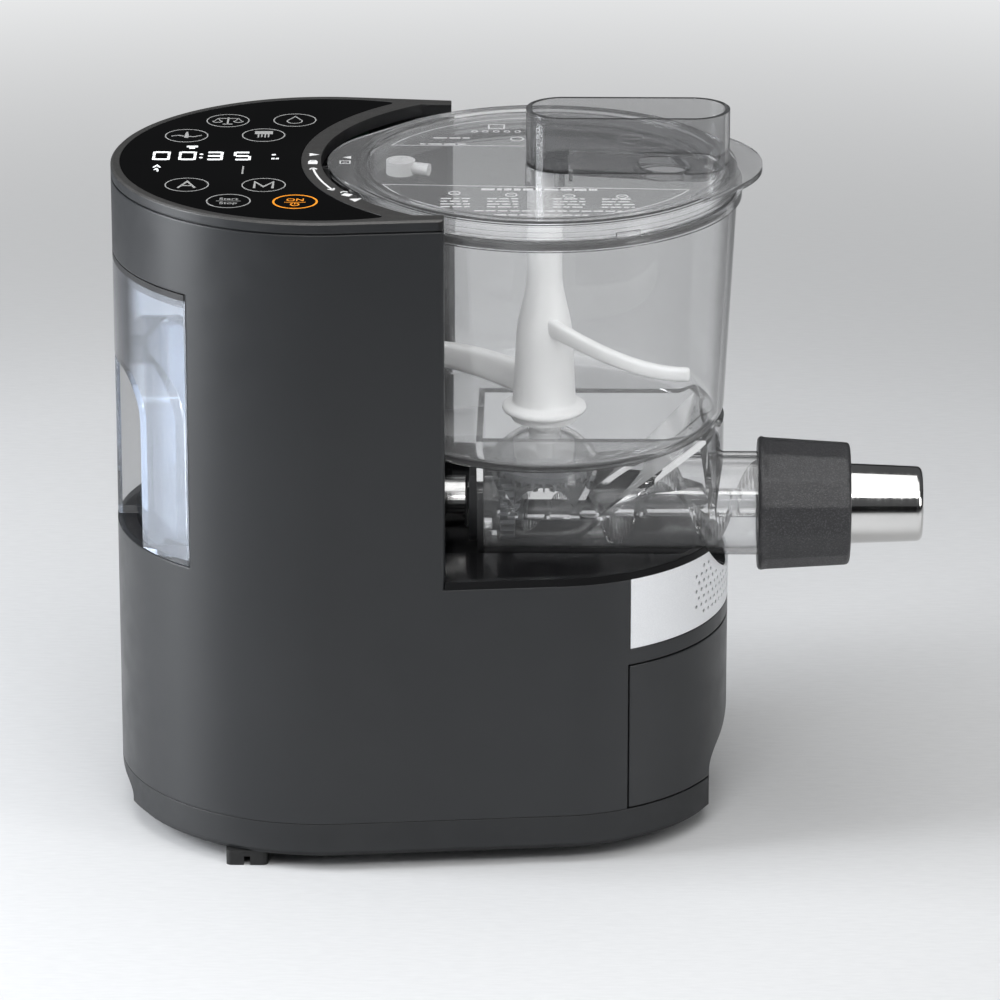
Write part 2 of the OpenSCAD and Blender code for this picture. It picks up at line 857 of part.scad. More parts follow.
gear_x = -bay_r - bay_t - 8 - gear_w;
stage_x = gear_x - gear_w - 1;
lay_z = barrel_z - gear_module * (lay_pinion_teeth + output_teeth) / 2;
motor_z = lay_z - gear_module * (motor_teeth + lay_teeth) / 2;
case_x = stage_x - 5;
case_t = 2.5;
motor_l = case_x + round_gap + sqrt(pow(rear_r - wall - motor_gap, 2) - pow(motor_r, 2));
motor_x = case_x - motor_l;
bush_r = 11;

// A gear with straight flanks: teeth turned by phase, so that a gap or a tooth points along +X
module spur(teeth, w, phase) {
    pitch_r = gear_module * teeth / 2;
    tip = pitch_r + gear_module * 0.85;
    root = pitch_r - gear_module * 1.1;
    step = 360 / teeth;
    linear_extrude(height = w) {
        circle(r = root + eps);
        for (i = [0 : teeth - 1]) rotate([0, 0, i * step + phase]) polygon([
            [root * 0.9, -0.34 * step * PI / 180 * root], [tip, -0.13 * step * PI / 180 * tip],
            [tip, 0.13 * step * PI / 180 * tip], [root * 0.9, 0.34 * step * PI / 180 * root]
        ]);
    }
}

// Places a gear that spins about +X at the height z, so that its first tooth points up
module gear_at(x, z) {
    translate([x, 0, z]) rotate([0, 90, 0]) rotate([0, 0, 180]) children();
}

module motor_can() {
    color(steel) on_axis() difference() {
        translate([motor_x, 0, motor_z]) rotate([0, 90, 0]) cylinder(r = motor_r, h = motor_l);
        translate([motor_x + 2, 0, motor_z]) rotate([0, 90, 0])
            cylinder(r = motor_r - 2, h = motor_l - 4);
        translate([motor_x - 1, 0, motor_z]) rotate([0, 90, 0])
            cylinder(r = 4 + run_gap, h = motor_l + 2);
        for (a = [45 : 90 : 315]) translate([motor_x, 0, motor_z]) rotate([a, 0, 0])
            translate([-1, -7, 14]) cube([4, 14, 12]);
    }
}

module motor_cradle() {
    color(charcoal) on_axis() for (x = [motor_x + 8, motor_x + motor_l - 14]) difference() {
        translate([x, -26, foot_h + base_t]) cube([6, 52, motor_z - foot_h - base_t - 12]);
        translate([x - 1, 0, motor_z]) rotate([0, 90, 0]) cylinder(r = motor_r, h = 8);
    }
}

module case_plan(grow = 0) {
    translate([-motor_z, 0]) circle(r = 22 + grow);
    translate([-lay_z, 0]) circle(r = gear_module * lay_teeth / 2 + 5 + grow);
    translate([-barrel_z, 0]) circle(r = gear_module * output_teeth / 2 + 5 + grow);
    translate([-barrel_z, -22 - grow]) square([barrel_z - motor_z, 44 + 2 * grow]);
}

case_depth = -bay_r - bay_t - case_x;

module gearbox_case() {
    color(steel) on_axis() {
        difference() {
            translate([case_x, 0, 0]) rotate([0, 90, 0])
                linear_extrude(height = case_depth - 3) case_plan(case_t);
            translate([case_x + case_t, 0, 0]) rotate([0, 90, 0])
                linear_extrude(height = case_depth) case_plan();
            translate([case_x - 1, 0, motor_z]) rotate([0, 90, 0]) cylinder(r = 5, h = 9);
            translate([case_x - 1, 0, lay_z]) rotate([0, 90, 0])
                cylinder(r = 4 + run_gap, h = 9);
        }
        difference() {
            translate([case_x, -20, foot_h + base_t]) cube([case_depth - 3, 40,
                motor_z - foot_h - base_t - 18]);
            translate([case_x - 1, 0, motor_z]) rotate([0, 90, 0]) cylinder(r = 24, h = far);
        }
    }
}

module gearbox_cover() {
    color(steel) on_axis() difference() {
        translate([case_x + case_depth - 3, 0, 0]) rotate([0, 90, 0])
            linear_extrude(height = 3) case_plan(case_t);
        translate([case_x, 0, lay_z]) rotate([0, 90, 0]) cylinder(r = 4 + run_gap, h = far);
        translate([case_x, 0, barrel_z]) rotate([0, 90, 0]) cylinder(r = bush_r, h = far);
    }
}

module output_bushes() {
    color(brass) on_axis() {
        difference() {
            rod_x(case_x + case_depth - 3, bush_r, 9);
            rod_x(-far, shaft_r + run_gap, far);
        }
        difference() {
            rod_x(-drive_face - 10, bush_r, 10);
            rod_x(-far, shaft_r + run_gap, far);
        }
    }
}

module motor_rotor() {
    color(steel) on_axis() translate([motor_x - 4, 0, motor_z]) rotate([0, 90, 0]) {
        cylinder(r = 4, h = motor_l + case_t + 6 + gear_w);
        translate([0, 0, 12]) cylinder(r = motor_r - 6, h = motor_l - 16);
    }
}

module motor_pinion() {
    color(brass) on_axis() difference() {
        gear_at(stage_x, motor_z) spur(motor_teeth, gear_w, 0);
        translate([stage_x - 1, 0, motor_z]) rotate([0, 90, 0]) cylinder(r = 4, h = gear_w + 2);
    }
}

module layshaft_gear() {
    color(white) on_axis() {
        gear_at(stage_x, lay_z) spur(lay_teeth, gear_w - 0.5, 180 + 180 / lay_teeth);
        gear_at(stage_x + gear_w - 0.5 - eps, lay_z) spur(lay_pinion_teeth, gear_w + 1.4, 0);
        translate([case_x + 0.2, 0, lay_z]) rotate([0, 90, 0])
            cylinder(r = 4, h = case_depth - 0.4);
    }
}

module output_gear() {
    color(white) on_axis() difference() {
        gear_at(gear_x, barrel_z) spur(output_teeth, gear_w, 180 + 180 / output_teeth);
        rod_x(gear_x - 1, shaft_r, gear_w + 2);
    }
}

hub_x = -barrel_back - 5;

module output_shaft() {
    color(steel) on_axis() rod_x(gear_x - 0.5, shaft_r, hub_x - 4 - gear_x + 0.5);
}

// The chrome hub that turns the auger by a flat tongue
tongue_w = 7;

module drive_coupling() {
    color(steel) on_axis() difference() {
        union() {
            rod_x(-drive_face + 0.5, hub_drive_r, hub_x + drive_face - 1.3);
            rod_x(hub_x - 0.9, hub_drive_r, 0.9, hub_drive_r - 0.9);
            translate([hub_x - eps, -tongue_w / 2, barrel_z - 9]) cube([4.5, tongue_w, 18]);
        }
        rod_x(-far, shaft_r, far + hub_x - 4);
    }
}

// ---------------------------------------------------------------- services

module power_board() {
    x = tank_x + tank_gap + bay_wall;
    color(green) on_axis() {
        translate([x + 5, 20, tank_z + 30]) cube([1.6, 44, 95]);
        for (y = [24, 60], z = [tank_z + 34, tank_z + 121]) translate([x, y, z])
            rotate([0, 90, 0]) cylinder(r = 2.5, h = 5 + eps);
        translate([x + 6.6 - eps, 26, tank_z + 40]) cube([20, 30, 26]);
        for (z = [80, 100]) translate([x + 6.6 - eps, 42, tank_z + z]) rotate([0, 90, 0])
            cylinder(r = 8, h = 18);
    }
}

pump_x = tank_x + tank_gap + bay_wall + 20;
pump_z = valve_z + 42;
pump_h = 34;
hose_r = 2.5;
hose_y = 0;
outlet_r = 2.3;
outlet_x = outlet_r + 0.1 - notch_r;
outlet_y = 0;

module water_pump() {
    color(black) on_axis() translate([pump_x, hose_y, pump_z]) {
        cylinder(r = 13, h = pump_h);
        translate([0, 0, -5]) cylinder(r = 2.4, h = 5 + eps);
        translate([0, 0, pump_h - eps]) cylinder(r = 2.4, h = 5);
    }
}

module pump_bracket() {
    color(steel) on_axis() difference() {
        translate([tank_x + tank_gap + bay_wall, hose_y - 16, pump_z + 8])
            cube([pump_x - tank_x - tank_gap - bay_wall, 32, 16]);
        translate([pump_x, hose_y, pump_z]) cylinder(r = 13, h = pump_h);
        translate([tank_x + tank_gap + bay_wall + 2, hose_y - 17, pump_z + 10])
            cube([4, 34, 12]);
    }
}

module hose_bend(r_bend) {
    rotate_extrude(angle = 90) translate([r_bend, 0]) difference() {
        circle(r = hose_r, $fn = 24);
        circle(r = hose_r - 1, $fn = 24);
    }
}

module suction_hose() {
    start = tank_x + tank_gap + bay_wall + 11;
    bend = pump_x - start;
    color(white) on_axis() {
        translate([start, hose_y, valve_z + bend]) rotate([90, 0, 0])
            rotate([0, 0, -90]) hose_bend(bend);
        translate([pump_x, hose_y, valve_z + bend])
            tube(hose_r, hose_r - 1, pump_z - 5 - valve_z - bend);
    }
}

module delivery_hose() {
    bend = 12;
    low = pump_z + pump_h + 5;
    top = bay_top - 3 - bend;
    color(white) on_axis() {
        translate([pump_x, hose_y, low]) tube(hose_r, hose_r - 1, top - bend - low);
        translate([pump_x + bend, hose_y, top - bend]) rotate([90, 0, 0])
            rotate([0, 0, 90]) hose_bend(bend);
        translate([pump_x + bend, hose_y, top]) rotate([0, 90, 0])
            tube(hose_r, hose_r - 1, outlet_x - pump_x - 2 * bend);
        translate([outlet_x - bend, hose_y, top + bend]) rotate([90, 0, 0])
            rotate([0, 0, -90]) hose_bend(bend);
    }
}

module water_outlet() {
    color(rubber) on_axis() translate([outlet_x, outlet_y, 0]) difference() {
        union() {
            translate([0, 0, bay_top]) cylinder(r = outlet_r, h = flange_z - slip_gap - bay_top);
            translate([0, 0, bay_top - 3]) cylinder(r = outlet_r - 0.6, h = 3 + eps);
        }
        translate([0, 0, bay_top - 4]) cylinder(r = 1, h = 20);
    }
}

module lid_switch() {
    color(black) on_axis() difference() {
        translate([-bay_r - bay_t - 10, 22, bay_top - 14]) cube([24, 20, 12]);
        cylinder(r = bay_r + bay_t, h = far);
    }
}

blower_x = 34;
blower_r = 30;
blower_h = 16;

module blower_housing() {
    z = ceiling_z + bay_wall;
    color(black) on_axis() translate([0, 0, z]) difference() {
        union() {
            translate([blower_x, 0, 0]) cylinder(r = blower_r, h = blower_h);
            translate([blower_x, -blower_r, 0]) cube([46, 38, blower_h]);
        }
        translate([blower_x, 0, 1.5]) cylinder(r = blower_r - 2, h = blower_h - 3);
        translate([blower_x, -blower_r + 2, 1.5]) cube([50, 34, blower_h - 3]);
        translate([blower_x, 0, 5]) cylinder(r = 12, h = far);
    }
    color(black) on_axis() translate([blower_x, 0, z + 1.5 - eps]) cylinder(r = 1.5, h = 9);
}

module blower_wheel() {
    z = ceiling_z + bay_wall + 2;
    color(charcoal) on_axis() translate([blower_x, 0, z]) difference() {
        union() {
            cylinder(r = 24, h = 1.5);
            cylinder(r = 6, h = 10);
            for (i = [0 : 15]) rotate([0, 0, i * 22.5]) translate([16, 0, 1.5 - eps])
                rotate([0, 0, 25]) cube([8, 1.2, 9]);
        }
        translate([0, 0, -1]) cylinder(r = 1.5 + run_gap, h = 20);
    }
}

module cord_gland() {
    color(rubber) on_axis() cord_place() difference() {
        union() {
            translate([0, 0, -4]) cylinder(r = cord_r + 3, h = 4);
            translate([0, 0, -1]) cylinder(r = cord_r - 0.1, h = wall + 2.5);
        }
        translate([0, 0, -5]) cylinder(r = 3.5, h = 20);
    }
}

// ---------------------------------------------------------------- bowl and barrel

taper = (bowl_r - bowl_foot_r) / bowl_depth;

function arc(cx, cz, r, from, to, n) =
    [for (i = [0 : n]) let (a = from + (to - from) * i / n) [cx + r * cos(a), cz + r * sin(a)]];

// Half a section of the bowl's outside, or of its inside at the given inset
module bowl_section(inset) {
    r = floor_round - inset;
    low = bowl_foot_r - inset;
    top = rim_top + (inset > 0 ? 1 : 0);
    translate([low - r, floor_z + inset + r]) intersection() {
        circle(r = r);
        translate([0, -r]) square([r, r]);
    }
    polygon([[0, floor_z + inset], [low - r, floor_z + inset], [low - r, floor_z + inset + r],
        [low, floor_z + inset + r], [bowl_r - inset, top], [0, top]]);
}

// The hopper below the floor, seen along X: wide at the floor and narrow at the barrel
module hopper_section(inset) {
    translate([0, 0]) polygon([
        [barrel_z, inset - barrel_r], [floor_z + bowl_t + (inset > 0 ? 1 : 0), -hopper_w - bowl_t + inset],
        [floor_z + bowl_t + (inset > 0 ? 1 : 0), hopper_w + bowl_t - inset],
        [barrel_z, barrel_r - inset]
    ]);
}

module hopper(inset) {
    start = -barrel_back + inset;
    translate([start, 0, 0]) multmatrix([[0, 0, 1, 0], [0, 1, 0, 0], [1, 0, 0, 0], [0, 0, 0, 1]])
        linear_extrude(height = far) hopper_section(inset);
}

// Everything under the slanted end of the hopper, seen along Y
module under_slant(drop) {
    rise = floor_z + bowl_t - barrel_z - 8;
    translate([0, far / 4, 0]) rotate([90, 0, 0]) linear_extrude(height = far / 2)
        polygon([
            [hopper_reach - hopper_slant - 10 + drop, barrel_z - 10 * rise / hopper_slant + 8],
            [hopper_reach + 10 + drop, barrel_z + 8 + rise + 10 * rise / hopper_slant],
            [far, barrel_z + 8 + rise + 10 * rise / hopper_slant], [far, barrel_z - 60],
            [hopper_reach - hopper_slant - 10 + drop, barrel_z - 60]
        ]);
}

dome_z = barrel_z + 11.8;
cap_r = 18.3;
catch_angles = [25, 115, 205, 295];

module mixing_bowl() {
    color(clear) on_axis() difference() {
        union() {
            rotate_extrude($fn = 144) bowl_section(0);
            translate([0, 0, rim_top - rim_h])
                cylinder(r = bowl_r + rim_out, h = rim_h, $fn = 144);
            rod_x(-barrel_back, barrel_r, barrel_back + barrel_front);
            difference() {
                intersection() {
                    hopper(0);
                    translate([0, 0, barrel_z]) cylinder(r = bowl_foot_r, h = far);
                }
                difference() {
                    under_slant(bowl_t + 2);
                    skirt();
                }
            }
        }
        difference() {
            rotate_extrude($fn = 144) bowl_section(bowl_t);
            translate([0, 0, dome_z]) sphere(r = dome_r);
        }
        difference() {
            hopper(bowl_t);
            under_slant(0);
            translate([0, 0, barrel_z]) cylinder(r = dome_r, h = dome_z - barrel_z);
            translate([0, 0, dome_z]) sphere(r = dome_r);
        }
        rod_x(-barrel_back + barrel_t, barrel_r - barrel_t, far);
        rod_x(-barrel_back - 1, cap_r, barrel_t + 2);
        translate([0, 0, barrel_z]) cylinder(r = dome_r - bowl_t, h = dome_z - barrel_z);
        translate([0, 0, dome_z]) sphere(r = dome_r - bowl_t);
        translate([0, 0, dome_z]) cylinder(r = 7, h = far);
    }
    color(clear) on_axis() for (a = catch_angles) rotate([0, 0, a])
        translate([bowl_r + 0.2, -6, rim_top - 1]) cube([rim_out - 0.6, 12, 4]);
}

// The front skirt and the rib under the slanted end, which stand on the barrel
module skirt() {
    difference() {
        cylinder(r = bowl_foot_r + 1, h = far);
        translate([0, 0, -1]) cylinder(r = bowl_foot_r - bowl_t, h = far + 2);
    }
    translate([0, -bowl_t / 2, 0]) cube([bowl_foot_r, bowl_t, far]);
}

module barrel_end_cap() {
    color(black) on_axis() difference() {
        union() {
            rod_x(-barrel_back - 4, cap_r + 0.1, 4);
            rod_x(-barrel_back - eps, cap_r, barrel_t);
        }
        rod_x(-far, journal_r + run_gap, far);
    }
}

module dome_bush() {
    color(white) on_axis() translate([0, 0, dome_z + dome_r - 9]) difference() {
        union() {
            cylinder(r = 7, h = 11);
            translate([0, 0, 9.5]) cylinder(r = 9, h = 1.5);
        }
        translate([0, 0, -1]) cylinder(r = 4 + run_gap, h = 20);
    }
}

// ---------------------------------------------------------------- auger

journal_r = 13.5;
auger_r = barrel_r - barrel_t - auger_gap;
pinion_x = -21;
pinion_w = 7;
mesh_r = 17.5;
tooth_h = 3;
pinion_mid = mesh_r * pinion_teeth / crown_teeth;
low_flight_r = pinion_mid - tooth_h / 2 - 0.6;

module auger() {
    start = pinion_x + pinion_w + 3;
    step = mesh_r + 5;
    stop = barrel_front - 1.5;
    color(steel) on_axis() {
        difference() {
            union() {
                rod_x(pinion_x - 2, core_r, stop - pinion_x + 2);
                rod_x(-barrel_back - 3.5, journal_r, barrel_back + 3.5 + pinion_x - 1.5);
                rod_x(pinion_x - 4, auger_r, 2.5);
                rod_x(stop - eps, core_r, 4, core_r - 4);
            }
            translate([-barrel_back - 4.5, -tongue_w / 2 - slip_gap, barrel_z - 9 - slip_gap])
                cube([6, tongue_w + 2 * slip_gap, 18 + 2 * slip_gap]);
            difference() {
                rod_x(pinion_x, core_r + 1, pinion_w);
                rod_x(pinion_x - 1, core_r - 2, pinion_w + 2);
            }
        }
        flight(start, step, low_flight_r, start);
        flight(step, stop, auger_r, start);
    }
}

// The flight from one x to another, as part of the helix that begins at x = origin
module flight(from, to, r, origin) {
    half = flight_w / auger_pitch * 180;
    turn = 360 / auger_pitch;
    translate([from, 0, barrel_z]) rotate([0, 90, 0])
        rotate([0, 0, (from - origin) * turn - 35])
            linear_extrude(height = to - from, twist = (from - to) * turn,
                slices = ceil((to - from) / auger_pitch * 30), $fn = 4)
                polygon([
                    [(core_r - 1) * cos(half), -(core_r - 1) * sin(half)],
                    [r * cos(half * 0.5), -r * sin(half * 0.5)],
                    [r * cos(half * 0.5), r * sin(half * 0.5)],
                    [(core_r - 1) * cos(half), (core_r - 1) * sin(half)]
                ]);
}

module auger_pinion() {
    step = 360 / pinion_teeth;
    root = pinion_mid - tooth_h / 2;
    tip = pinion_mid + tooth_h / 2 - 0.4;
    color(white) on_axis() difference() {
        translate([pinion_x, 0, barrel_z]) rotate([0, 90, 0]) rotate([0, 0, 180 + step / 2])
            linear_extrude(height = pinion_w) {
                circle(r = root);
                for (i = [0 : pinion_teeth - 1]) rotate([0, 0, i * step]) polygon([
                    [root - 1, -1.1], [tip, -0.45], [tip, 0.45], [root - 1, 1.1]
                ]);
            }
        rod_x(pinion_x - 1, core_r - 2, pinion_w + 2);
    }
}

crown_z = barrel_z + pinion_mid + tooth_h / 2;

module paddle_gear() {
    step = 360 / crown_teeth;
    color(white) on_axis() {
        translate([0, 0, crown_z]) cylinder(r = mesh_r + 3, h = 3);
        for (i = [0 : crown_teeth - 1]) rotate([0, 0, i * step])
            translate([mesh_r - 3, 0, crown_z + eps]) rotate([0, 90, 0])
                linear_extrude(height = 6)
                    polygon([[0, -0.8], [tooth_h - 0.5, -0.35], [tooth_h - 0.5, 0.35], [0, 0.8]]);
        translate([0, 0, crown_z]) cylinder(r = 4, h = paddle_z - 0.3 - crown_z);
        translate([-3.2, -3.2, paddle_z - 1]) cube([6.4, 6.4, 15]);
    }
}

// ---------------------------------------------------------------- paddle

paddle_z = dome_z + dome_r + paddle_rise;
neck_z = paddle_z + 70;
arm_z = paddle_z + 40;
pin_r = 4.5;

function blend(t) = t * t * (3 - 2 * t);

module mixing_paddle() {
    hub_top = paddle_z + 36;
    color(white) on_axis() {
        difference() {
            union() {
                rotate_extrude() polygon(concat(
                    [[0, paddle_z], [collar_r - 2, paddle_z], [collar_r, paddle_z + 1.8],
                        [collar_r, paddle_z + 3], [collar_r - 1.2, paddle_z + 4],
                        [hub_r + 0.4, paddle_z + 4.8]],
                    [for (i = [0 : 12]) let (t = i / 12)
                        [hub_r - 1.4 * t, paddle_z + 5.2 + (hub_top - paddle_z - 5.2) * t]],
                    [for (i = [1 : 10]) let (t = i / 10)
                        [hub_r - 1.4 - (hub_r - 1.4 - neck_r) * blend(t),
                            hub_top + (neck_z - hub_top) * t]],
                    [[neck_r, boss_z - 1.5], [neck_r - 1, boss_z - 0.5], [0, boss_z - 0.5]]
                ));
                translate([0, 0, boss_z - 1]) cylinder(r = pin_r, h = 9);
                translate([0, 0, paddle_z - 4]) cylinder(r = 16, h = 4 + eps);
            }
            translate([0, 0, paddle_z - 5]) cylinder(r = 10.5, h = 5);
            translate([-3.3, -3.3, paddle_z - 1]) cube([6.6, 6.6, 15.2]);
            for (a = [0 : 45 : 135]) rotate([0, 0, a]) translate([-20, -3, paddle_z - 5])
                cube([40, 6, 3]);
        }
        bar(upper_arm, 7, 8, 5.5);
        bar(lower_arm, 7, 16, 8);
    }
}

arm_steps = 14;

// The upper arm leaves the hub on its front side and sweeps out and down to the right
upper_arm = [for (i = [0 : arm_steps]) let (t = i / arm_steps, a = -78 + 50 * pow(t, 0.6))
    [(10 + (arm_reach - 10) * t) * cos(a), (10 + (arm_reach - 10) * t) * sin(a),
        arm_z + 6 - 15 * blend(t)]];

// The lower arm is a scraper on the other side, close to the floor
lower_arm = [for (i = [0 : arm_steps]) let (t = i / arm_steps, a = 102 + 50 * pow(t, 0.6))
    [(10 + (arm_reach - 10) * t) * cos(a), (10 + (arm_reach - 10) * t) * sin(a),
        paddle_z + 9 + 8 * blend(t)]];

// A bar of an oval section, w wide, h high at its root and tip_h high at its rounded tip
module bar(path, w, h, tip_h) {
    n = len(path);
    sides = 12;
    function way(i) = let (d = path[min(i + 1, n - 1)] - path[max(i - 1, 0)])
        [d[0], d[1], 0] / norm([d[0], d[1]]);
    function size(i) = i < n - 2 ? 1 : i == n - 2 ? 0.85 : 0.45;
    function high(i) = h + (tip_h - h) * i / (n - 1);
    points = [for (i = [0 : n - 1]) let (d = way(i)) for (k = [0 : sides - 1])
        let (a = 360 * k / sides)
        path[i] + size(i) * [d[1] * w / 2 * cos(a), -d[0] * w / 2 * cos(a),
            high(i) / 2 * sin(a)]];
    faces = concat(
        [[for (k = [0 : sides - 1]) sides - 1 - k]],
        [[for (k = [0 : sides - 1]) (n - 1) * sides + k]],
        [for (i = [0 : n - 2], k = [0 : sides - 1]) let (m = (k + 1) % sides)
            [i * sides + k, i * sides + m, (i + 1) * sides + m]],
        [for (i = [0 : n - 2], k = [0 : sides - 1]) let (m = (k + 1) % sides)
            [i * sides + k, (i + 1) * sides + m, (i + 1) * sides + k]]
    );
    polyhedron(points, faces);
}

// ---------------------------------------------------------------- lid

boss_z = flange_z - 10;
funnel_z = lid_top - 1.2;

// The lid's outline: a circle with a nose at the front and at the rear
module lid_plan(inset = 0) {
    r = lid_r - inset;
    tip = nose_r - inset;
    x = nose_reach - nose_r;
    c = (r - tip) / x;
    s = sqrt(1 - c * c);
    circle(r = r, $fn = 144);
    for (side = [0, 1]) mirror([side, 0]) {
        translate([x, 0]) circle(r = tip, $fn = 144);
        polygon([
            [(r - tuck) * c, (r - tuck) * s], [x + (tip - tuck) * c, (tip - tuck) * s],
            [x + (tip - tuck) * c, (tuck - tip) * s], [(r - tuck) * c, (tuck - r) * s]
        ]);
    }
}

module funnel_plan(grow = 0) {
    translate([-funnel_back - grow, funnel_side])
        stadium(funnel_l + 2 * grow, funnel_w + 2 * grow);
}

spigot_r = bowl_r - bowl_t - 2.4;

module lid() {
    color(smoke) on_axis() difference() {
        union() {
            translate([0, 0, flange_z]) linear_extrude(height = flange_t) lid_plan();
            translate([0, 0, lid_z]) tube(lid_r - 0.5, lid_r - 3.2, skirt_h + eps);
            translate([0, 0, lid_z - 6]) tube(spigot_r, spigot_r - 2.4, skirt_h + 6 + eps);
            translate([0, 0, boss_z]) cylinder(r = 9.4, h = flange_z - boss_z + eps);
        }
        translate([0, 0, funnel_z]) cylinder(r = lid_r - 6.5, h = far);
        translate([0, 0, boss_z - 1]) cylinder(r = pin_r + run_gap, h = 11);
        translate([0, 0, flange_z - 1]) linear_extrude(height = 10) intersection() {
            funnel_plan(-2);
            before(11);
            circle(r = spigot_r - 2.7);
        }
        translate([0, 0, lid_z + 1.5]) tube(lid_r + 3, lid_r - 1.5, 2.5);
    }
}

module feed_funnel() {
    low = flange_z - 4;
    color(smoke) on_axis() difference() {
        union() {
            difference() {
                translate([0, 0, funnel_z]) linear_extrude(height = funnel_h) funnel_plan();
                translate([0, 0, funnel_z - 1]) linear_extrude(height = far)
                    funnel_plan(-funnel_t);
            }
            difference() {
                translate([0, 0, low]) linear_extrude(height = funnel_z - low + 4)
                    intersection() {
                        funnel_plan(-2 - slip_gap);
                        before(11 + slip_gap);
                        circle(r = spigot_r - 2.7 - slip_gap);
                    }
                translate([12, -far / 2, funnel_z + 2]) rotate([0, 3, 0])
                    cube([far, far, far]);
                translate([11, -far / 2, low - 40]) rotate([0, 3, 0])
                    translate([0, 0, 40 + 3]) mirror([0, 0, 1]) cube([far, far, 60]);
            }
            translate([0, 0, funnel_z]) linear_extrude(height = 1.2) intersection() {
                funnel_plan(-1);
                behind(14);
            }
            translate([feed_x, funnel_side, low]) cylinder(r = feed_r + 2, h = 5);
        }
        translate([feed_x, funnel_side, low - 1]) cylinder(r = feed_r, h = far);
        translate([0, 0, funnel_z - 1]) tube(far / 2, lid_r - 6.6, lid_top - funnel_z + 1);
    }
}

feed_x = 56.5;

spout_at = [-68.5, 7];

module water_spout() {
    spout_h = 6.5;
    color(white) on_axis() translate([spout_at[0], spout_at[1], flange_z - spout_h]) {
        cylinder(r = 6.9, h = spout_h);
        translate([0, 0, spout_h / 2]) rotate([0, 90, -20]) cylinder(r = 2.9, h = 14.5);
    }
}

module lid_seal() {
    color(rubber) on_axis() translate([0, 0, lid_z - 5])
        tube(bowl_r - bowl_t - slip_gap - 5 * taper, spigot_r + run_gap, 3);
}

// ---------------------------------------------------------------- nozzle

nozzle_seat = barrel_front + slip_gap;
ring_x = nozzle_seat - 25.5;
nozzle_flange = 8;

module locking_ring() {
    flute_r = 24;
    sink = 0.9;
    color(charcoal) on_axis() difference() {
        translate([ring_x, 0, barrel_z]) rotate([0, 90, 0]) rotate_extrude()
            polygon([
                [nozzle_r + 0.4, ring_l], [ring_front_r - 2.2, ring_l],
                [ring_front_r - 0.6, ring_l - 0.8], [ring_front_r, ring_l - 2.6],
                [ring_r, 2.4], [ring_r - 0.6, 0.7], [ring_r - 2, 0],
                [barrel_r + slip_gap, 0],
                [barrel_r + slip_gap, nozzle_seat + nozzle_flange + slip_gap - ring_x],
                [nozzle_r + 0.4, nozzle_seat + nozzle_flange + slip_gap - ring_x]
            ]);
        for (i = [0 : flutes - 1]) translate([ring_x - 1, 0, barrel_z]) rotate([i * 360 / flutes, 0, 0])
            translate([0, 0, (ring_r + ring_front_r) / 2 + flute_r - sink]) rotate([0, 90, 0])
                cylinder(r = flute_r, h = ring_l + 2);
    }
}

module nozzle() {
    tip = nozzle_reach - nozzle_seat;
    round = 3;
    color(steel) on_axis() translate([nozzle_seat, 0, barrel_z]) rotate([0, 90, 0])
        rotate_extrude() polygon(concat(
            [[nozzle_r - nozzle_t, 0], [barrel_r - 0.4, 0], [barrel_r - 0.4, nozzle_flange],
                [nozzle_r, nozzle_flange]],
            arc(tip_nozzle_r - round, tip - round, round, 0, 90, 5),
            [[disc_r - 1.5, tip], [disc_r - 1.5, tip - 2], [disc_r, tip - 2],
                [disc_r, tip - 12], [nozzle_r - nozzle_t, nozzle_flange]]
        ));
}

disc_r = tip_nozzle_r - nozzle_t;

module disc_shape(r, t) {
    difference() {
        union() {
            cylinder(r = r, h = t);
            translate([0, 0, t - eps]) cylinder(r = r - 1.7, h = 1.2);
        }
        for (i = [0 : 5]) rotate([0, 0, i * 60]) translate([r * 0.58, 0, -1])
            cylinder(r = r * 0.17, h = t + 4, $fn = 24);
        translate([0, 0, -1]) cylinder(r = r * 0.17, h = t + 4, $fn = 24);
    }
}

module shaping_disc() {
    color(brass) on_axis() translate([nozzle_reach - 12, 0, barrel_z]) rotate([0, 90, 0])
        disc_shape(disc_r - run_gap, 10);
}

// ---------------------------------------------------------------- water tank

module tank_plan(inset) {
    intersection() {
        translate([-round_gap, 0]) circle(r = rear_r - inset, $fn = 144);
        translate([-far, -tank_w / 2 + inset])
            square([far + tank_x - inset, tank_w - 2 * inset]);
    }
}

// The finger recess in the tank's rear face, grown by grow
module finger_recess(grow) {
    translate([0, 0, tank_z]) difference() {
        translate([-far, 0, 0]) rotate([90, 0, 90]) linear_extrude(height = far - round_gap)
            intersection() {
                translate([-finger_w / 2 - grow, -60])
                    rounded_square([finger_w + 2 * grow, finger_h + 60 + grow], 22);
                translate([-far / 2, -1]) square([far, far]);
            }
        translate([-round_gap, 0, -2]) cylinder(r = rear_r - finger_d - grow, h = far);
    }
}

module water_tank() {
    color(clear) on_axis() difference() {
        union() {
            difference() {
                translate([0, 0, tank_z]) linear_extrude(height = tank_h - 3) tank_plan(0);
                finger_recess(0);
            }
            translate([0, 0, tank_z]) linear_extrude(height = 5) intersection() {
                difference() {
                    translate([-round_gap, 0]) circle(r = rear_r - finger_d + 5);
                    translate([-round_gap, 0]) circle(r = rear_r - finger_d - 1);
                }
                translate([-far, -finger_w / 2 - 1]) square([far - round_gap, finger_w + 2]);
            }
        }
        difference() {
            translate([0, 0, tank_z + tank_t]) linear_extrude(height = tank_h)
                tank_plan(tank_t);
            finger_recess(tank_t);
        }
        translate([tank_x - 10, 0, valve_z]) rotate([0, 90, 0]) cylinder(r = 4, h = 20);
    }
}

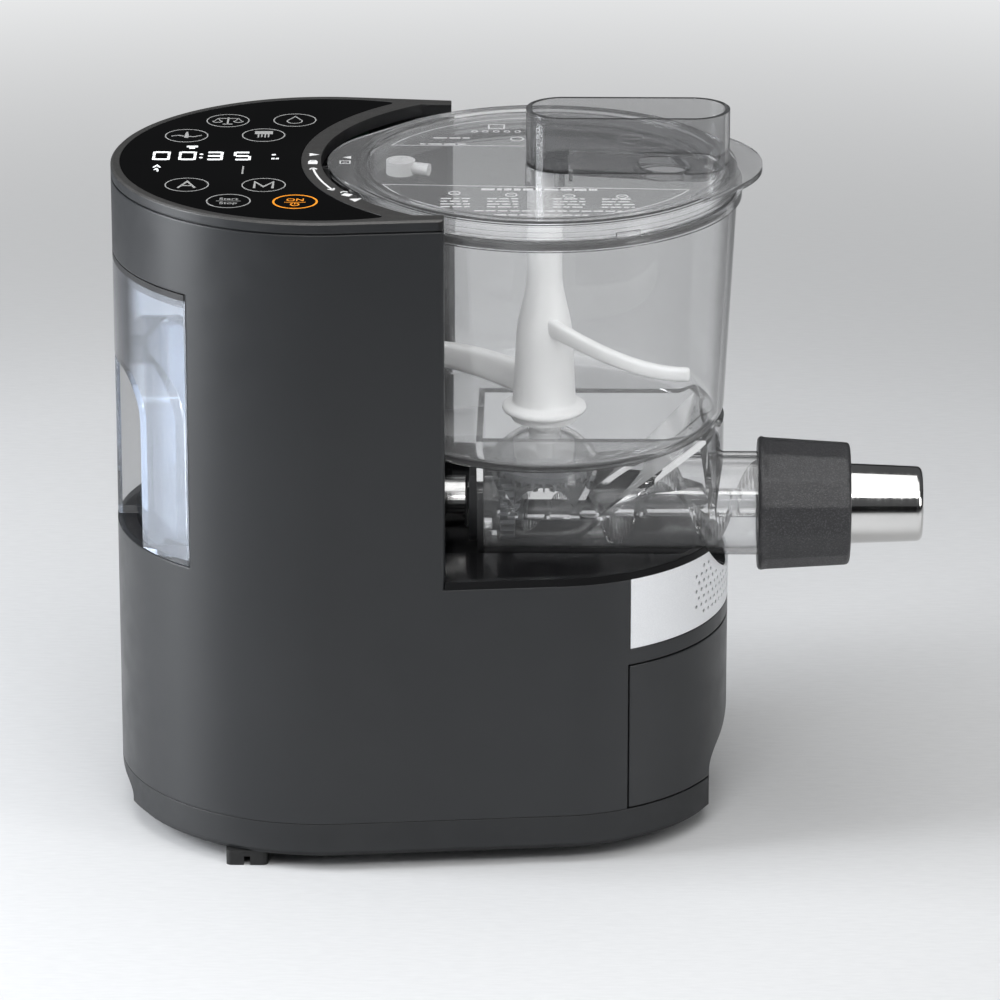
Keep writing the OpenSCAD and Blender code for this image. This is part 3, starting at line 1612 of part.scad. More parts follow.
module tank_cap() {
    color(charcoal) on_axis() {
        translate([0, 0, tank_z + tank_h - 3]) linear_extrude(height = 3) tank_plan(0);
        translate([0, 0, tank_z + tank_h - 7]) linear_extrude(height = 4 + eps) difference() {
            tank_plan(tank_t + 0.1);
            tank_plan(tank_t + 2.1);
        }
    }
}

module tank_valve() {
    color(white) on_axis() translate([tank_x - tank_t - 2, 0, valve_z]) rotate([0, 90, 0])
        difference() {
            union() {
                cylinder(r = 6, h = 2);
                cylinder(r = 4, h = 4 + tank_t);
                translate([0, 0, 2 + tank_t]) cylinder(r = 5, h = 5);
            }
            translate([0, 0, -1]) cylinder(r = 2, h = 12);
        }
}

// ---------------------------------------------------------------- drawer

module drawer_front() {
    color(charcoal) on_axis() difference() {
        translate([0, 0, seam_z + drawer_gap]) linear_extrude(height = drawer_h)
            intersection() {
                circle(r = front_r, $fn = 144);
                wedge(front_angle);
            }
        front_grip();
        difference() {
            translate([0, 0, seam_z]) cylinder(r = front_r - wall, h = far, $fn = 144);
            front_grip(wall);
        }
    }
}

module tray_plan(inset) {
    intersection() {
        circle(r = front_r - wall - inset, $fn = 144);
        translate([-tray_back + inset, -tray_w / 2 + inset])
            square([far, tray_w - 2 * inset]);
    }
}

module drawer_tray() {
    low = seam_z + runner_t + slip_gap;
    color(charcoal) on_axis() difference() {
        translate([0, 0, low]) linear_extrude(height = drawer_top - 6 - low) tray_plan(0);
        front_grip(wall);
        difference() {
            translate([0, 0, low + tray_t]) linear_extrude(height = far) tray_plan(tray_t);
            front_grip(wall + tray_t);
        }
    }
}

module spare_discs() {
    low = seam_z + runner_t + slip_gap + tray_t;
    color(brass) on_axis() for (at = [[-10, 38], [-10, -38], [34, 38], [34, -38], [12, 0]])
        translate([at[0], at[1], low]) disc_shape(spare_r, spare_t);
}

// ---------------------------------------------------------------- drawing

housing_shell();
top_cover();
control_panel();
control_board();
bowl_bay();
deck_tray();
vent_plate();
base_pan();
feet();
load_cells();
base_screws();
tank_bay();
drawer_bay();
motor_can();
motor_cradle();
gearbox_case();
gearbox_cover();
output_bushes();
power_board();
water_pump();
pump_bracket();
suction_hose();
delivery_hose();
tank_socket();
water_outlet();
blower_housing();
cord_gland();
lid_switch();
motor_rotor();
motor_pinion();
layshaft_gear();
output_shaft();
output_gear();
drive_coupling();
blower_wheel();
mixing_bowl();
barrel_end_cap();
dome_bush();
auger();
auger_pinion();
mixing_paddle();
paddle_gear();
lid();
feed_funnel();
water_spout();
lid_seal();
locking_ring();
nozzle();
shaping_disc();
water_tank();
tank_cap();
tank_valve();
drawer_front();
drawer_tray();
spare_discs();
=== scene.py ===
"""The looks of the pasta maker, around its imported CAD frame. Lengths are in metres."""

from math import atan2, cos, pi, radians, sin, sqrt

import bmesh
import bpy
from mathutils import Matrix, Vector


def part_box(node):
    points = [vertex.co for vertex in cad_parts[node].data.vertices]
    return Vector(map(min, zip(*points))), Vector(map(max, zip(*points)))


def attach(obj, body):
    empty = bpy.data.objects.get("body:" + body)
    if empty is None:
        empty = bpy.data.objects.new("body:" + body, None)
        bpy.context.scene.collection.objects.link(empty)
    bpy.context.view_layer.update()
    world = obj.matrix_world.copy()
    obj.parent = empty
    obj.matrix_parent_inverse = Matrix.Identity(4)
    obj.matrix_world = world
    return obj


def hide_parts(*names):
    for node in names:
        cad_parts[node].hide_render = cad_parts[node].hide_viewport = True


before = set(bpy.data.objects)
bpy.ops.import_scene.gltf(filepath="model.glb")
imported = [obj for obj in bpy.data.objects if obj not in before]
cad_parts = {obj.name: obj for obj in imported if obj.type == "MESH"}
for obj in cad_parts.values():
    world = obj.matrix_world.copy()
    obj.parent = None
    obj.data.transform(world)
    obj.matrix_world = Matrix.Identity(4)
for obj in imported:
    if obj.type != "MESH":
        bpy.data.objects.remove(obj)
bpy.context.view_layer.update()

MM = 0.001

# ------------------------------------------------------------------ places, from the frame


def centre(node):
    low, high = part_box(node)
    return (low + high) / 2


AXIS_X = centre("dome_bush").x
PANEL_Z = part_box("control_panel")[1].z
COVER_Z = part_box("top_cover")[1].z
BARREL_Z = centre("locking_ring").z
PADDLE_LOW, PADDLE_HIGH = (corner.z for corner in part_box("mixing_paddle"))
LID_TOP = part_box("water_spout")[1].z


def at(x, y, z=0.0):
    """A place in millimetres from the bowl's axis and the table."""
    return Vector((AXIS_X + x * MM, y * MM, z * MM))


def arc_points(x, y, radius, start, stop, steps):
    """Points on an arc in the plane, from one angle to another in degrees."""
    turns = [radians(start + (stop - start) * i / steps) for i in range(steps + 1)]
    return [(x + radius * cos(a), y + radius * sin(a)) for a in turns]


# ------------------------------------------------------------------ meshes


def piece(name, bm, material, body, sharp=35):
    """Makes a shown piece of a bmesh, smooth up to an angle, that rides on a body."""
    bmesh.ops.recalc_face_normals(bm, faces=bm.faces)
    mesh = bpy.data.meshes.new(name)
    bm.to_mesh(mesh)
    bm.free()
    mesh.shade_smooth()
    mesh.set_sharp_from_angle(angle=radians(sharp))
    mesh.materials.append(material)
    obj = bpy.data.objects.new(name, mesh)
    bpy.context.scene.collection.objects.link(obj)
    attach(obj, body)
    return obj


def loft(bm, rings, closed_ends=True):
    """Joins rings of points into a tube, and caps its ends."""
    rows = [[bm.verts.new(p) for p in ring] for ring in rings]
    count = len(rows[0])
    for low, high in zip(rows, rows[1:]):
        for i in range(count):
            j = (i + 1) % count
            bm.faces.new((low[i], low[j], high[j], high[i]))
    if closed_ends:
        bm.faces.new(rows[0][::-1])
        bm.faces.new(rows[-1])


def revolve(bm, profile, steps=96, centre_point=Vector(), turn=Matrix.Identity(3)):
    """Turns a profile of (radius, height) pairs about the z axis, closed at both ends."""
    rows = []
    for radius, height in profile:
        if radius <= 0:
            rows.append([bm.verts.new(centre_point + turn @ Vector((0, 0, height)))])
            continue
        ring = []
        for i in range(steps):
            a = 2 * pi * i / steps
            spot = Vector((radius * cos(a), radius * sin(a), height))
            ring.append(bm.verts.new(centre_point + turn @ spot))
        rows.append(ring)
    for low, high in zip(rows, rows[1:]):
        for i in range(steps):
            j = (i + 1) % steps
            corners = [low[i % len(low)], low[j % len(low)], high[j % len(high)], high[i % len(high)]]
            corners = list(dict.fromkeys(corners))
            if len(corners) > 2:
                bm.faces.new(corners)


def slab(bm, outline, z, thick):
    """A flat plate with the given outline of (x, y) millimetres."""
    low = [bm.verts.new(at(x, y, z)) for x, y in outline]
    high = [bm.verts.new(at(x, y, z + thick)) for x, y in outline]
    count = len(low)
    bm.faces.new(low[::-1])
    bm.faces.new(high)
    for i in range(count):
        j = (i + 1) % count
        bm.faces.new((low[i], low[j], high[j], high[i]))


def stroke(bm, points, width, z, thick, closed=False):
    """A printed line of even width through (x, y) points in millimetres."""
    count = len(points)
    left, right = [], []
    for i, (x, y) in enumerate(points):
        before = points[i - 1] if i or closed else points[i]
        after = points[(i + 1) % count] if i + 1 < count or closed else points[i]
        ahead = Vector((after[0] - x, after[1] - y))
        behind = Vector((x - before[0], y - before[1]))
        ahead = ahead.normalized() if ahead.length else behind.normalized()
        behind = behind.normalized() if behind.length else ahead
        along = (ahead + behind).normalized() if (ahead + behind).length > 1e-6 else ahead
        side = Vector((-along.y, along.x))
        reach = width / 2 / max(0.4, side.dot(Vector((-ahead.y, ahead.x))))
        left.append((x + side.x * reach, y + side.y * reach))
        right.append((x - side.x * reach, y - side.y * reach))
    pairs = range(count if closed else count - 1)
    rows = []
    for (lx, ly), (rx, ry) in zip(left, right):
        rows.append([bm.verts.new(at(px, py, pz)) for px, py, pz in (
            (lx, ly, z), (rx, ry, z), (rx, ry, z + thick), (lx, ly, z + thick))])
    for i in pairs:
        a, b = rows[i], rows[(i + 1) % count]
        for k in range(4):
            m = (k + 1) % 4
            bm.faces.new((a[k], a[m], b[m], b[k]))
    if not closed:
        bm.faces.new(rows[0][::-1])
        bm.faces.new(rows[-1])


def ring_mark(bm, x, y, radius, width, z, thick):
    stroke(bm, arc_points(x, y, radius, 0, 360, 64)[:-1], width, z, thick, closed=True)


def dot_mark(bm, x, y, radius, z, thick):
    slab(bm, arc_points(x, y, radius, 0, 360, 32)[:-1], z, thick)


def lettering(words, x, y, size, z, thick, name, material, body):
    """Plain lettering, centred on a place in millimetres."""
    curve = bpy.data.curves.new(name, "FONT")
    curve.body = words
    curve.size = size * MM
    curve.align_x = "CENTER"
    curve.align_y = "CENTER"
    curve.extrude = thick * MM / 2
    curve.resolution_u = 6
    holder = bpy.data.objects.new(name, curve)
    bpy.context.scene.collection.objects.link(holder)
    holder.location = at(x, y, z + thick / 2)
    bpy.context.view_layer.update()
    shape = holder.evaluated_get(bpy.context.evaluated_depsgraph_get())
    bm = bmesh.new()
    mesh = bpy.data.meshes.new_from_object(shape)
    bm.from_mesh(mesh)
    bm.transform(holder.matrix_world)
    bpy.data.objects.remove(holder)
    bpy.data.meshes.remove(mesh)
    return piece(name, bm, material, body)


# ------------------------------------------------------------------ materials


class Material:
    """A node material around one Principled shader, built up by small steps."""

    def __init__(self, name, colour, roughness, metallic=0.0):
        self.mat = bpy.data.materials.new(name)
        self.mat.use_nodes = True
        self.nodes = self.mat.node_tree.nodes
        self.links = self.mat.node_tree.links
        self.nodes.clear()
        self.out = self.nodes.new("ShaderNodeOutputMaterial")
        self.bsdf = self.nodes.new("ShaderNodeBsdfPrincipled")
        self.links.new(self.bsdf.outputs[0], self.out.inputs["Surface"])
        self.place = self.nodes.new("ShaderNodeTexCoord").outputs["Object"]
        self.colour = colour
        self.set("Base Color", (*colour, 1))
        self.set("Roughness", roughness)
        self.set("Metallic", metallic)
        self.normal = None

    def set(self, socket, value):
        self.bsdf.inputs[socket].default_value = value
        return self

    def paint(self, source):
        """Lets a node's output give the base colour."""
        self.links.new(source, self.bsdf.inputs["Base Color"])
        return self

    def noise(self, scale, detail=2.0, stretch=None):
        """Cloudy noise. scale is in waves per metre, and stretch squeezes an axis."""
        node = self.nodes.new("ShaderNodeTexNoise")
        node.inputs["Scale"].default_value = scale
        node.inputs["Detail"].default_value = detail
        source = self.place
        if stretch:
            mapping = self.nodes.new("ShaderNodeMapping")
            mapping.inputs["Scale"].default_value = stretch
            self.links.new(self.place, mapping.inputs["Vector"])
            source = mapping.outputs[0]
        self.links.new(source, node.inputs["Vector"])
        return node.outputs[0]

    def cells(self, scale):
        """A random grey for each small cell."""
        node = self.nodes.new("ShaderNodeTexVoronoi")
        node.inputs["Scale"].default_value = scale
        self.links.new(self.place, node.inputs["Vector"])
        split = self.nodes.new("ShaderNodeSeparateColor")
        self.links.new(node.outputs["Color"], split.inputs[0])
        return split.outputs[0]

    def ramp(self, source, low, high, start=0.35, stop=0.65):
        """Maps a grey to a range of values."""
        node = self.nodes.new("ShaderNodeMapRange")
        for name, value in (("From Min", start), ("From Max", stop), ("To Min", low), ("To Max", high)):
            node.inputs[name].default_value = value
        self.links.new(source, node.inputs["Value"])
        return node.outputs[0]

    def shade(self, source, other, start=0.35, stop=0.65):
        """Lets the base colour drift towards another one."""
        return self.paint(self.blend(self.ramp(source, 0, 1, start, stop), self.colour, other))

    def rough(self, source, low, high):
        self.links.new(self.ramp(source, low, high), self.bsdf.inputs["Roughness"])
        return self

    def math(self, kind, first, second=None):
        node = self.nodes.new("ShaderNodeMath")
        node.operation = kind
        for socket, value in zip(node.inputs, (first, second)):
            if isinstance(value, (int, float)):
                socket.default_value = value
            elif value:
                self.links.new(value, socket)
        return node.outputs[0]

    def facing_up(self):
        """1 on level faces, 0 on upright ones."""
        split = self.nodes.new("ShaderNodeSeparateXYZ")
        self.links.new(self.nodes.new("ShaderNodeNewGeometry").outputs["True Normal"], split.inputs[0])
        return self.ramp(split.outputs[2], 0, 1, 0.3, 0.4)

    def reach(self, axis_x=0.0):
        """The distance from an upright axis."""
        split = self.nodes.new("ShaderNodeSeparateXYZ")
        self.links.new(self.place, split.inputs[0])
        x = self.math("SUBTRACT", split.outputs[0], axis_x)
        across = self.math("MULTIPLY", x, x)
        along = self.math("MULTIPLY", split.outputs[1], split.outputs[1])
        return self.math("SQRT", self.math("ADD", across, along))

    def paint_edge_shade(self, edge, start, stop):
        """Paints shade into a clear plastic where it is seen edge on, for the dark surroundings that its
        edges show.
        """
        facing = self.nodes.new("ShaderNodeLayerWeight").outputs["Facing"]
        return self.shade(facing, edge, start, stop)

    def blend(self, factor, first, second):
        """A colour between two, each a colour or a node's output."""
        mix = self.nodes.new("ShaderNodeMix")
        mix.data_type = "RGBA"
        self.links.new(factor, mix.inputs[0])
        for socket, value in ((mix.inputs[6], first), (mix.inputs[7], second)):
            if isinstance(value, tuple):
                socket.default_value = (*value, 1)
            else:
                self.links.new(value, socket)
        return mix.outputs[2]

    def round_edges(self, radius):
        node = self.nodes.new("ShaderNodeBevel")
        node.samples = 6
        node.inputs["Radius"].default_value = radius
        self.normal = node.outputs[0]
        self.links.new(self.normal, self.bsdf.inputs["Normal"])
        return self

    def bump(self, source, height, strength=1.0):
        node = self.nodes.new("ShaderNodeBump")
        node.inputs["Distance"].default_value = height
        node.inputs["Strength"].default_value = strength
        self.links.new(source, node.inputs["Height"])
        if self.normal:
            self.links.new(self.normal, node.inputs["Normal"])
        self.normal = node.outputs[0]
        self.links.new(self.normal, self.bsdf.inputs["Normal"])
        return self

    def let_lamps_through(self, tint):
        """Glass that casts a faint tinted shadow instead of a black one."""
        clear = self.nodes.new("ShaderNodeBsdfTransparent")
        clear.inputs["Color"].default_value = (*tint, 1)
        path = self.nodes.new("ShaderNodeLightPath")
        mix = self.nodes.new("ShaderNodeMixShader")
        self.links.new(path.outputs["Is Shadow Ray"], mix.inputs[0])
        self.links.new(self.bsdf.outputs[0], mix.inputs[1])
        self.links.new(clear.outputs[0], mix.inputs[2])
        self.links.new(mix.outputs[0], self.out.inputs["Surface"])
        return self


SLATE = (0.0145, 0.0156, 0.0174)
COVER_BAND_R = 106.3 * MM  # just outside the cover's inner edge, from the bowl's axis
BAND_EDGE = 0.2 * MM


def satin_housing():
    """Slate-black plastic with a fine spark-eroded grain."""
    m = Material("satin_housing", SLATE, 0.36)
    m.set("Specular IOR Level", 0.48)
    m.shade(m.noise(9, 3), (0.017, 0.0182, 0.02))
    m.rough(m.noise(60, 4), 0.31, 0.39)
    return m.round_edges(0.0012).bump(m.noise(3400, 2), 0.00005, 0.5).mat


def charcoal_base():
    """The base's and drawer's plastic, a little duller than the housing's."""
    m = Material("charcoal_base", (0.017, 0.018, 0.0195), 0.46)
    m.set("Specular IOR Level", 0.38)
    m.shade(m.noise(30, 3), (0.021, 0.022, 0.0235))
    m.rough(m.noise(90, 4), 0.4, 0.52)
    return m.round_edges(0.0009).bump(m.noise(3200, 2), 0.00005, 0.5).mat


def graphite_rim():
    """Grainy grey paint on the level band, housing plastic on its outer edge, black inside."""
    m = Material("graphite_rim", (0.05, 0.049, 0.048), 0.4)
    level = m.facing_up()
    grain = m.blend(m.ramp(m.cells(4200), 0, 1, 0.6, 1.0), m.colour, (0.1, 0.098, 0.094))
    outside = m.ramp(m.reach(AXIS_X), 0, 1, COVER_BAND_R - BAND_EDGE, COVER_BAND_R + BAND_EDGE)
    m.paint(m.blend(level, m.blend(outside, (0.003, 0.003, 0.0034), SLATE), grain))
    m.links.new(m.math("MULTIPLY", level, 0.35), m.bsdf.inputs["Metallic"])
    m.rough(m.noise(140, 4), 0.34, 0.44)
    return m.round_edges(0.0006).bump(m.noise(4200, 2), 0.00003, 0.4).mat


def black_glass():
    """The panel's glass, printed black from behind."""
    m = Material("black_glass", (0.0008, 0.0008, 0.0009), 0.05)
    m.set("Specular IOR Level", 0.03)
    m.rough(m.noise(22, 5), 0.035, 0.075)
    m.shade(m.noise(14, 2), (0.0014, 0.0014, 0.0015))
    return m.round_edges(0.0003).mat


def gloss_black():
    """The polished black plastic under and behind the bowl."""
    m = Material("gloss_black", (0.0025, 0.0025, 0.0028), 0.14)
    m.set("Specular IOR Level", 0.12)
    m.rough(m.noise(40, 4), 0.1, 0.18)
    m.shade(m.noise(12, 2), (0.0045, 0.0045, 0.005))
    return m.round_edges(0.0005).mat


def matte_black():
    m = Material("matte_black", (0.014, 0.014, 0.015), 0.6)
    m.rough(m.noise(80, 4), 0.52, 0.68)
    return m.bump(m.noise(3000, 2), 0.00004, 0.4).mat


def satin_silver():
    """Silver paint with a fine sparkle."""
    m = Material("satin_silver", (0.78, 0.79, 0.81), 0.34, 0.3)
    m.shade(m.cells(6500), (0.9, 0.91, 0.925), 0.6, 0.95)
    m.rough(m.noise(150, 4), 0.28, 0.38)
    return m.round_edges(0.0003).bump(m.noise(5200, 2), 0.00001, 0.3).mat


def polished_steel():
    """Turned and polished steel, with fine lines round the x axis."""
    m = Material("polished_steel", (0.72, 0.712, 0.70), 0.11, 1.0)
    turned = m.noise(900, 4, (1, 0.03, 0.03))
    m.rough(turned, 0.07, 0.17)
    m.shade(m.noise(30, 3), (0.66, 0.655, 0.645))
    return m.round_edges(0.0004).bump(turned, 0.000004, 0.5).mat


def brushed_steel():
    m = Material("brushed_steel", (0.5, 0.5, 0.51), 0.34, 1.0)
    m.rough(m.noise(300, 4, (1, 0.1, 0.1)), 0.26, 0.42)
    m.shade(m.noise(40, 3), (0.42, 0.42, 0.43))
    return m.mat


def brass():
    m = Material("brass", (0.56, 0.40, 0.17), 0.3, 1.0)
    m.rough(m.noise(200, 4), 0.22, 0.4)
    m.shade(m.noise(60, 3), (0.46, 0.32, 0.13))
    return m.mat


def white_plastic():
    """Milky moulded plastic."""
    m = Material("white_plastic", (0.76, 0.76, 0.755), 0.34)
    m.set("Subsurface Weight", 0.12)
    m.set("Subsurface Radius", (0.004, 0.004, 0.004))
    m.shade(m.noise(40, 3), (0.71, 0.71, 0.706))
    m.rough(m.noise(90, 4), 0.28, 0.4)
    return m.bump(m.noise(900, 2), 0.00001, 0.3).mat


def bay_plastic():
    """The tank bay: milky walls, and a black floor."""
    m = Material("bay_plastic", (0.32, 0.33, 0.35), 0.36)
    walls = m.blend(m.noise(40, 3), m.colour, (0.28, 0.29, 0.31))
    m.paint(m.blend(m.facing_up(), walls, (0.01, 0.01, 0.011)))
    m.rough(m.noise(90, 4), 0.28, 0.42)
    return m.mat


def black_rubber():
    m = Material("black_rubber", (0.012, 0.012, 0.012), 0.7)
    m.rough(m.noise(120, 4), 0.6, 0.8)
    return m.bump(m.noise(1800, 3), 0.00006, 0.5).mat


def board_green():
    m = Material("board_green", (0.006, 0.022, 0.011), 0.4)
    m.shade(m.cells(420), (0.009, 0.034, 0.016), 0.5, 0.9)
    m.rough(m.noise(100, 3), 0.3, 0.5)
    return m.mat


def sparkle_charcoal():
    """Charcoal plastic with a coarse grain that glitters."""
    m = Material("sparkle_charcoal", (0.026, 0.026, 0.028), 0.4)
    m.set("Specular IOR Level", 0.5)
    m.shade(m.cells(2100), (0.065, 0.065, 0.068), 0.6, 0.98)
    m.rough(m.noise(1500, 3), 0.28, 0.46)
    m.round_edges(0.0008)
    return m.bump(m.noise(1700, 3), 0.00026, 1.0).mat


def clear_plastic():
    """The bowl's and barrel's clear plastic, with faint ripples of the mould."""
    m = Material("clear_plastic", (0.87, 0.872, 0.875), 0.015)
    m.set("IOR", 1.5)
    m.set("Specular IOR Level", 0.8)
    m.set("Transmission Weight", 0.96)
    # painted shade: the colour darkens where the plastic is seen edge on
    m.paint_edge_shade((0.03, 0.0305, 0.031), 0.62, 0.84)
    m.rough(m.noise(25, 4), 0.0, 0.035)
    m.bump(m.noise(28, 2), 0.0002, 0.12)
    return m.let_lamps_through((0.95, 0.955, 0.96)).mat


def tank_plastic():
    """The tank's faintly blue plastic, with painted shade towards its sides where it is seen edge on."""
    m = Material("tank_plastic", (0.80, 0.835, 0.89), 0.03)
    m.set("IOR", 1.45)
    m.set("Transmission Weight", 0.94)
    m.set("Specular IOR Level", 0.2)
    # painted shade: the colour darkens where the tank is seen edge on
    m.paint_edge_shade((0.06, 0.06, 0.066), 0.54, 0.66)
    m.rough(m.noise(30, 4), 0.01, 0.07)
    m.bump(m.noise(36, 2), 0.0002, 0.12)
    return m.let_lamps_through((0.9, 0.93, 0.96)).mat


def smoke_plastic():
    """The grey tinted plastic of the funnel and the tank's bar."""
    m = Material("smoke_plastic", (0.60, 0.602, 0.605), 0.015)
    m.set("IOR", 1.45)
    m.set("Transmission Weight", 0.97)
    # painted shade: the colour darkens where the plastic is seen edge on
    m.paint_edge_shade((0.05, 0.051, 0.052), 0.6, 0.86)
    m.rough(m.noise(25, 4), 0.0, 0.04)
    m.bump(m.noise(30, 2), 0.0002, 0.12)
    return m.let_lamps_through((0.78, 0.782, 0.79)).mat


def lid_plastic():
    """The lid's plastic, with a faint milkiness and painted shade at its edges."""
    m = Material("lid_plastic", (0.93, 0.932, 0.935), 0.015)
    m.set("IOR", 1.45)
    m.set("Transmission Weight", 0.93)
    # painted shade: the colour darkens where the lid is seen edge on
    m.paint_edge_shade((0.02, 0.0205, 0.021), 0.6, 0.8)
    m.rough(m.noise(25, 4), 0.0, 0.04)
    m.bump(m.noise(30, 2), 0.0002, 0.12)
    return m.let_lamps_through((0.88, 0.882, 0.885)).mat


def clear_hose():
    """The clear hoses, coloured dark as painted shade for their place inside the housing."""
    m = Material("clear_hose", (0.05, 0.051, 0.052), 0.3)
    m.rough(m.noise(80, 3), 0.24, 0.4)
    return m.mat


def grey_plastic():
    """The smoky gears under the dome."""
    m = Material("grey_plastic", (0.13, 0.132, 0.136), 0.32)
    m.shade(m.noise(60, 3), (0.17, 0.172, 0.176))
    m.rough(m.noise(120, 3), 0.26, 0.4)
    return m.mat


def print_ink(name, colour, lit_and_painted_glow=0.0):
    """Ink or a lit sign behind glass. Glow on a lit sign is its own light; glow on plain ink is painted
    light.
    """
    m = Material(name, colour, 0.45)
    m.shade(m.noise(700, 2), tuple(c * 0.86 for c in colour))
    if lit_and_painted_glow:
        m.set("Emission Color", (*colour, 1))
        m.set("Emission Strength", lit_and_painted_glow)
    return m.mat


FINISHES = {make.__name__: make() for make in (
    satin_housing, charcoal_base, graphite_rim, black_glass, gloss_black, matte_black, satin_silver,
    polished_steel, brushed_steel, brass, white_plastic, bay_plastic, black_rubber, board_green,
    sparkle_charcoal, clear_plastic, tank_plastic, smoke_plastic, lid_plastic, clear_hose, grey_plastic)}

# Which finish each CAD node that stays in view gets
NODE_FINISH = {
    "satin_housing": "housing_shell drawer_front",
    "charcoal_base": "base_pan drawer_tray drawer_bay motor_cradle",
    "graphite_rim": "top_cover",
    "black_glass": "control_panel",
    "gloss_black": "bowl_bay deck_tray",
    "matte_black": "barrel_end_cap power_board water_pump blower_housing blower_wheel tank_cap "
                   "water_outlet lid_switch",
    "satin_silver": "vent_plate",
    "polished_steel": "nozzle output_shaft drive_coupling",
    "brushed_steel": "load_cells base_screws motor_can motor_rotor output_gear gearbox_case "
                     "gearbox_cover pump_bracket",
    "brass": "motor_pinion layshaft_gear output_bushes shaping_disc spare_discs",
    "white_plastic": "dome_bush mixing_paddle water_spout tank_valve",
    "bay_plastic": "tank_bay",
    "grey_plastic": "auger_pinion paddle_gear",
    "black_rubber": "feet tank_socket cord_gland lid_seal",
    "board_green": "control_board",
    "sparkle_charcoal": "locking_ring",
    "clear_plastic": "mixing_bowl auger",
    "tank_plastic": "water_tank",
    "lid_plastic": "lid",
    "smoke_plastic": "feed_funnel",
    "clear_hose": "suction_hose delivery_hose",
}


def dress_nodes():
    """Gives each CAD node its finish."""
    for finish, names in NODE_FINISH.items():
        for name in names.split():
            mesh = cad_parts[name].data
            mesh.materials.clear()
            mesh.materials.append(FINISHES[finish])


dress_nodes()

# ------------------------------------------------------------------ panel and cover marks

# painted glow: the panel's printed marks glow faintly though they are ink; the clock and the power sign below
# are lit
INK = print_ink("panel_ink_painted_glow", (0.36, 0.36, 0.355), 0.08)
LIT = print_ink("display_light", (0.86, 0.88, 0.89), 0.7)
ORANGE = print_ink("power_light", (0.80, 0.27, 0.015), 0.4)
# painted glow on the cover's and the lid's printed marks, which are ink and give no light of their own
WHITE_INK = print_ink("white_ink_painted_glow", (0.82, 0.82, 0.82), 0.1)
LID_INK = print_ink("lid_ink_painted_glow", (0.85, 0.85, 0.85), 0.35)

FILM = 0.06  # the height of a printed mark, in millimetres
PANEL_MM = PANEL_Z / MM
COVER_MM = COVER_Z / MM

FIELD_R = 10.1
FIELD_LINE = 0.55
SCALE_AT = (-153.1, 59.3)
DROP_AT = (-120.9, 60.5)
MIX_AT = (-171.7, 34.8)
EXTRUDE_AT = (-134.9, 36.1)
AUTO_AT = (-167.3, -42.0)
MANUAL_AT = (-131.3, -42.0)
START_AT = (-146.6, -66.5)
POWER_AT = (-115.6, -67.2)


def panel_fields():
    """The outlines of the touch fields, with their plain pictures."""
    bm = bmesh.new()

    def line(points, width=0.7, closed=False):
        stroke(bm, points, width, PANEL_MM, FILM, closed)

    for x, y in (SCALE_AT, DROP_AT, MIX_AT, EXTRUDE_AT, AUTO_AT, MANUAL_AT, START_AT):
        ring_mark(bm, x, y, FIELD_R, FIELD_LINE, PANEL_MM, FILM)
    x, y = SCALE_AT
    line([(x, y - 5.6), (x, y + 5.0)], 0.9)
    line([(x - 2.4, y - 5.6), (x + 2.4, y - 5.6)], 0.9)
    line([(x - 5.0, y + 3.6), (x + 5.0, y + 3.6)])
    for side in (-1, 1):
        pan = x + side * 5.0
        line([(pan - 1.7, y - 0.9), (pan, y + 3.6), (pan + 1.7, y - 0.9)], 0.4)
        line(arc_points(pan, y - 0.7, 2.2, 180, 360, 10), 0.7)
    x, y = DROP_AT
    line(arc_points(x, y - 1.6, 3.6, -215, 35, 24) + [(x, y + 6.0)], 0.6, closed=True)
    x, y = MIX_AT
    line([(x - 7.2, y - 0.6), (x - 3.6, y + 0.5), (x - 1.0, y - 0.9)], 0.9)
    line([(x + 7.2, y + 0.6), (x + 3.6, y - 1.6), (x + 1.0, y - 1.2)], 0.9)
    slab(bm, [(x - 0.4, y + 6.2), (x - 1.1, y - 1.0), (x - 0.9, y - 3.4), (x + 0.9, y - 3.4),
              (x + 1.1, y - 1.0), (x + 0.4, y + 6.2)], PANEL_MM, FILM)
    x, y = EXTRUDE_AT
    slab(bm, [(x - 4.3, y + 1.6), (x + 4.3, y + 1.6), (x + 4.3, y + 6.4), (x - 4.3, y + 6.4)], PANEL_MM, FILM)
    for i in range(4):
        line([(x - 2.4 + i * 1.6, y + 1.4), (x - 2.4 + i * 1.6, y - 3.6 + 0.5 * (i % 2))], 0.7)
    x, y = AUTO_AT
    line([(x - 4.0, y - 4.8), (x, y + 5.2), (x + 4.0, y - 4.8)], 1.15)
    line([(x - 2.4, y - 1.4), (x + 2.4, y - 1.4)], 1.0)
    x, y = MANUAL_AT
    line([(x + u, y + v) for u, v in ((-4.3, -4.9), (-4.3, 4.9), (0, -2.6), (4.3, 4.9), (4.3, -4.9))], 1.15)
    x, y = START_AT
    line([(x - 5.8, y), (x + 5.8, y)], 0.35)
    piece("panel_fields", bm, INK, "body")
    lettering("Start", x, y + 3.0, 4.6, PANEL_MM, FILM, "start_word", INK, "body")
    lettering("Stop", x, y - 3.2, 4.6, PANEL_MM, FILM, "stop_word", INK, "body")


def power_field():
    """The lit field that turns the machine on."""
    bm = bmesh.new()
    x, y = POWER_AT
    ring_mark(bm, x, y, FIELD_R, 0.9, PANEL_MM, FILM)
    stroke(bm, [(x - 5.0, y - 0.9), (x + 5.0, y - 0.9)], 0.45, PANEL_MM, FILM)
    stroke(bm, arc_points(x, y - 4.2, 1.9, 120, 420, 20), 0.6, PANEL_MM, FILM)
    stroke(bm, [(x, y - 3.9), (x, y - 1.9)], 0.6, PANEL_MM, FILM)
    piece("power_field", bm, ORANGE, "body")
    lettering("ON", x, y + 2.6, 5.4, PANEL_MM, FILM, "power_word", ORANGE, "body")


SEGMENTS = {"0": "abcdef", "3": "abcdg", "5": "acdfg"}


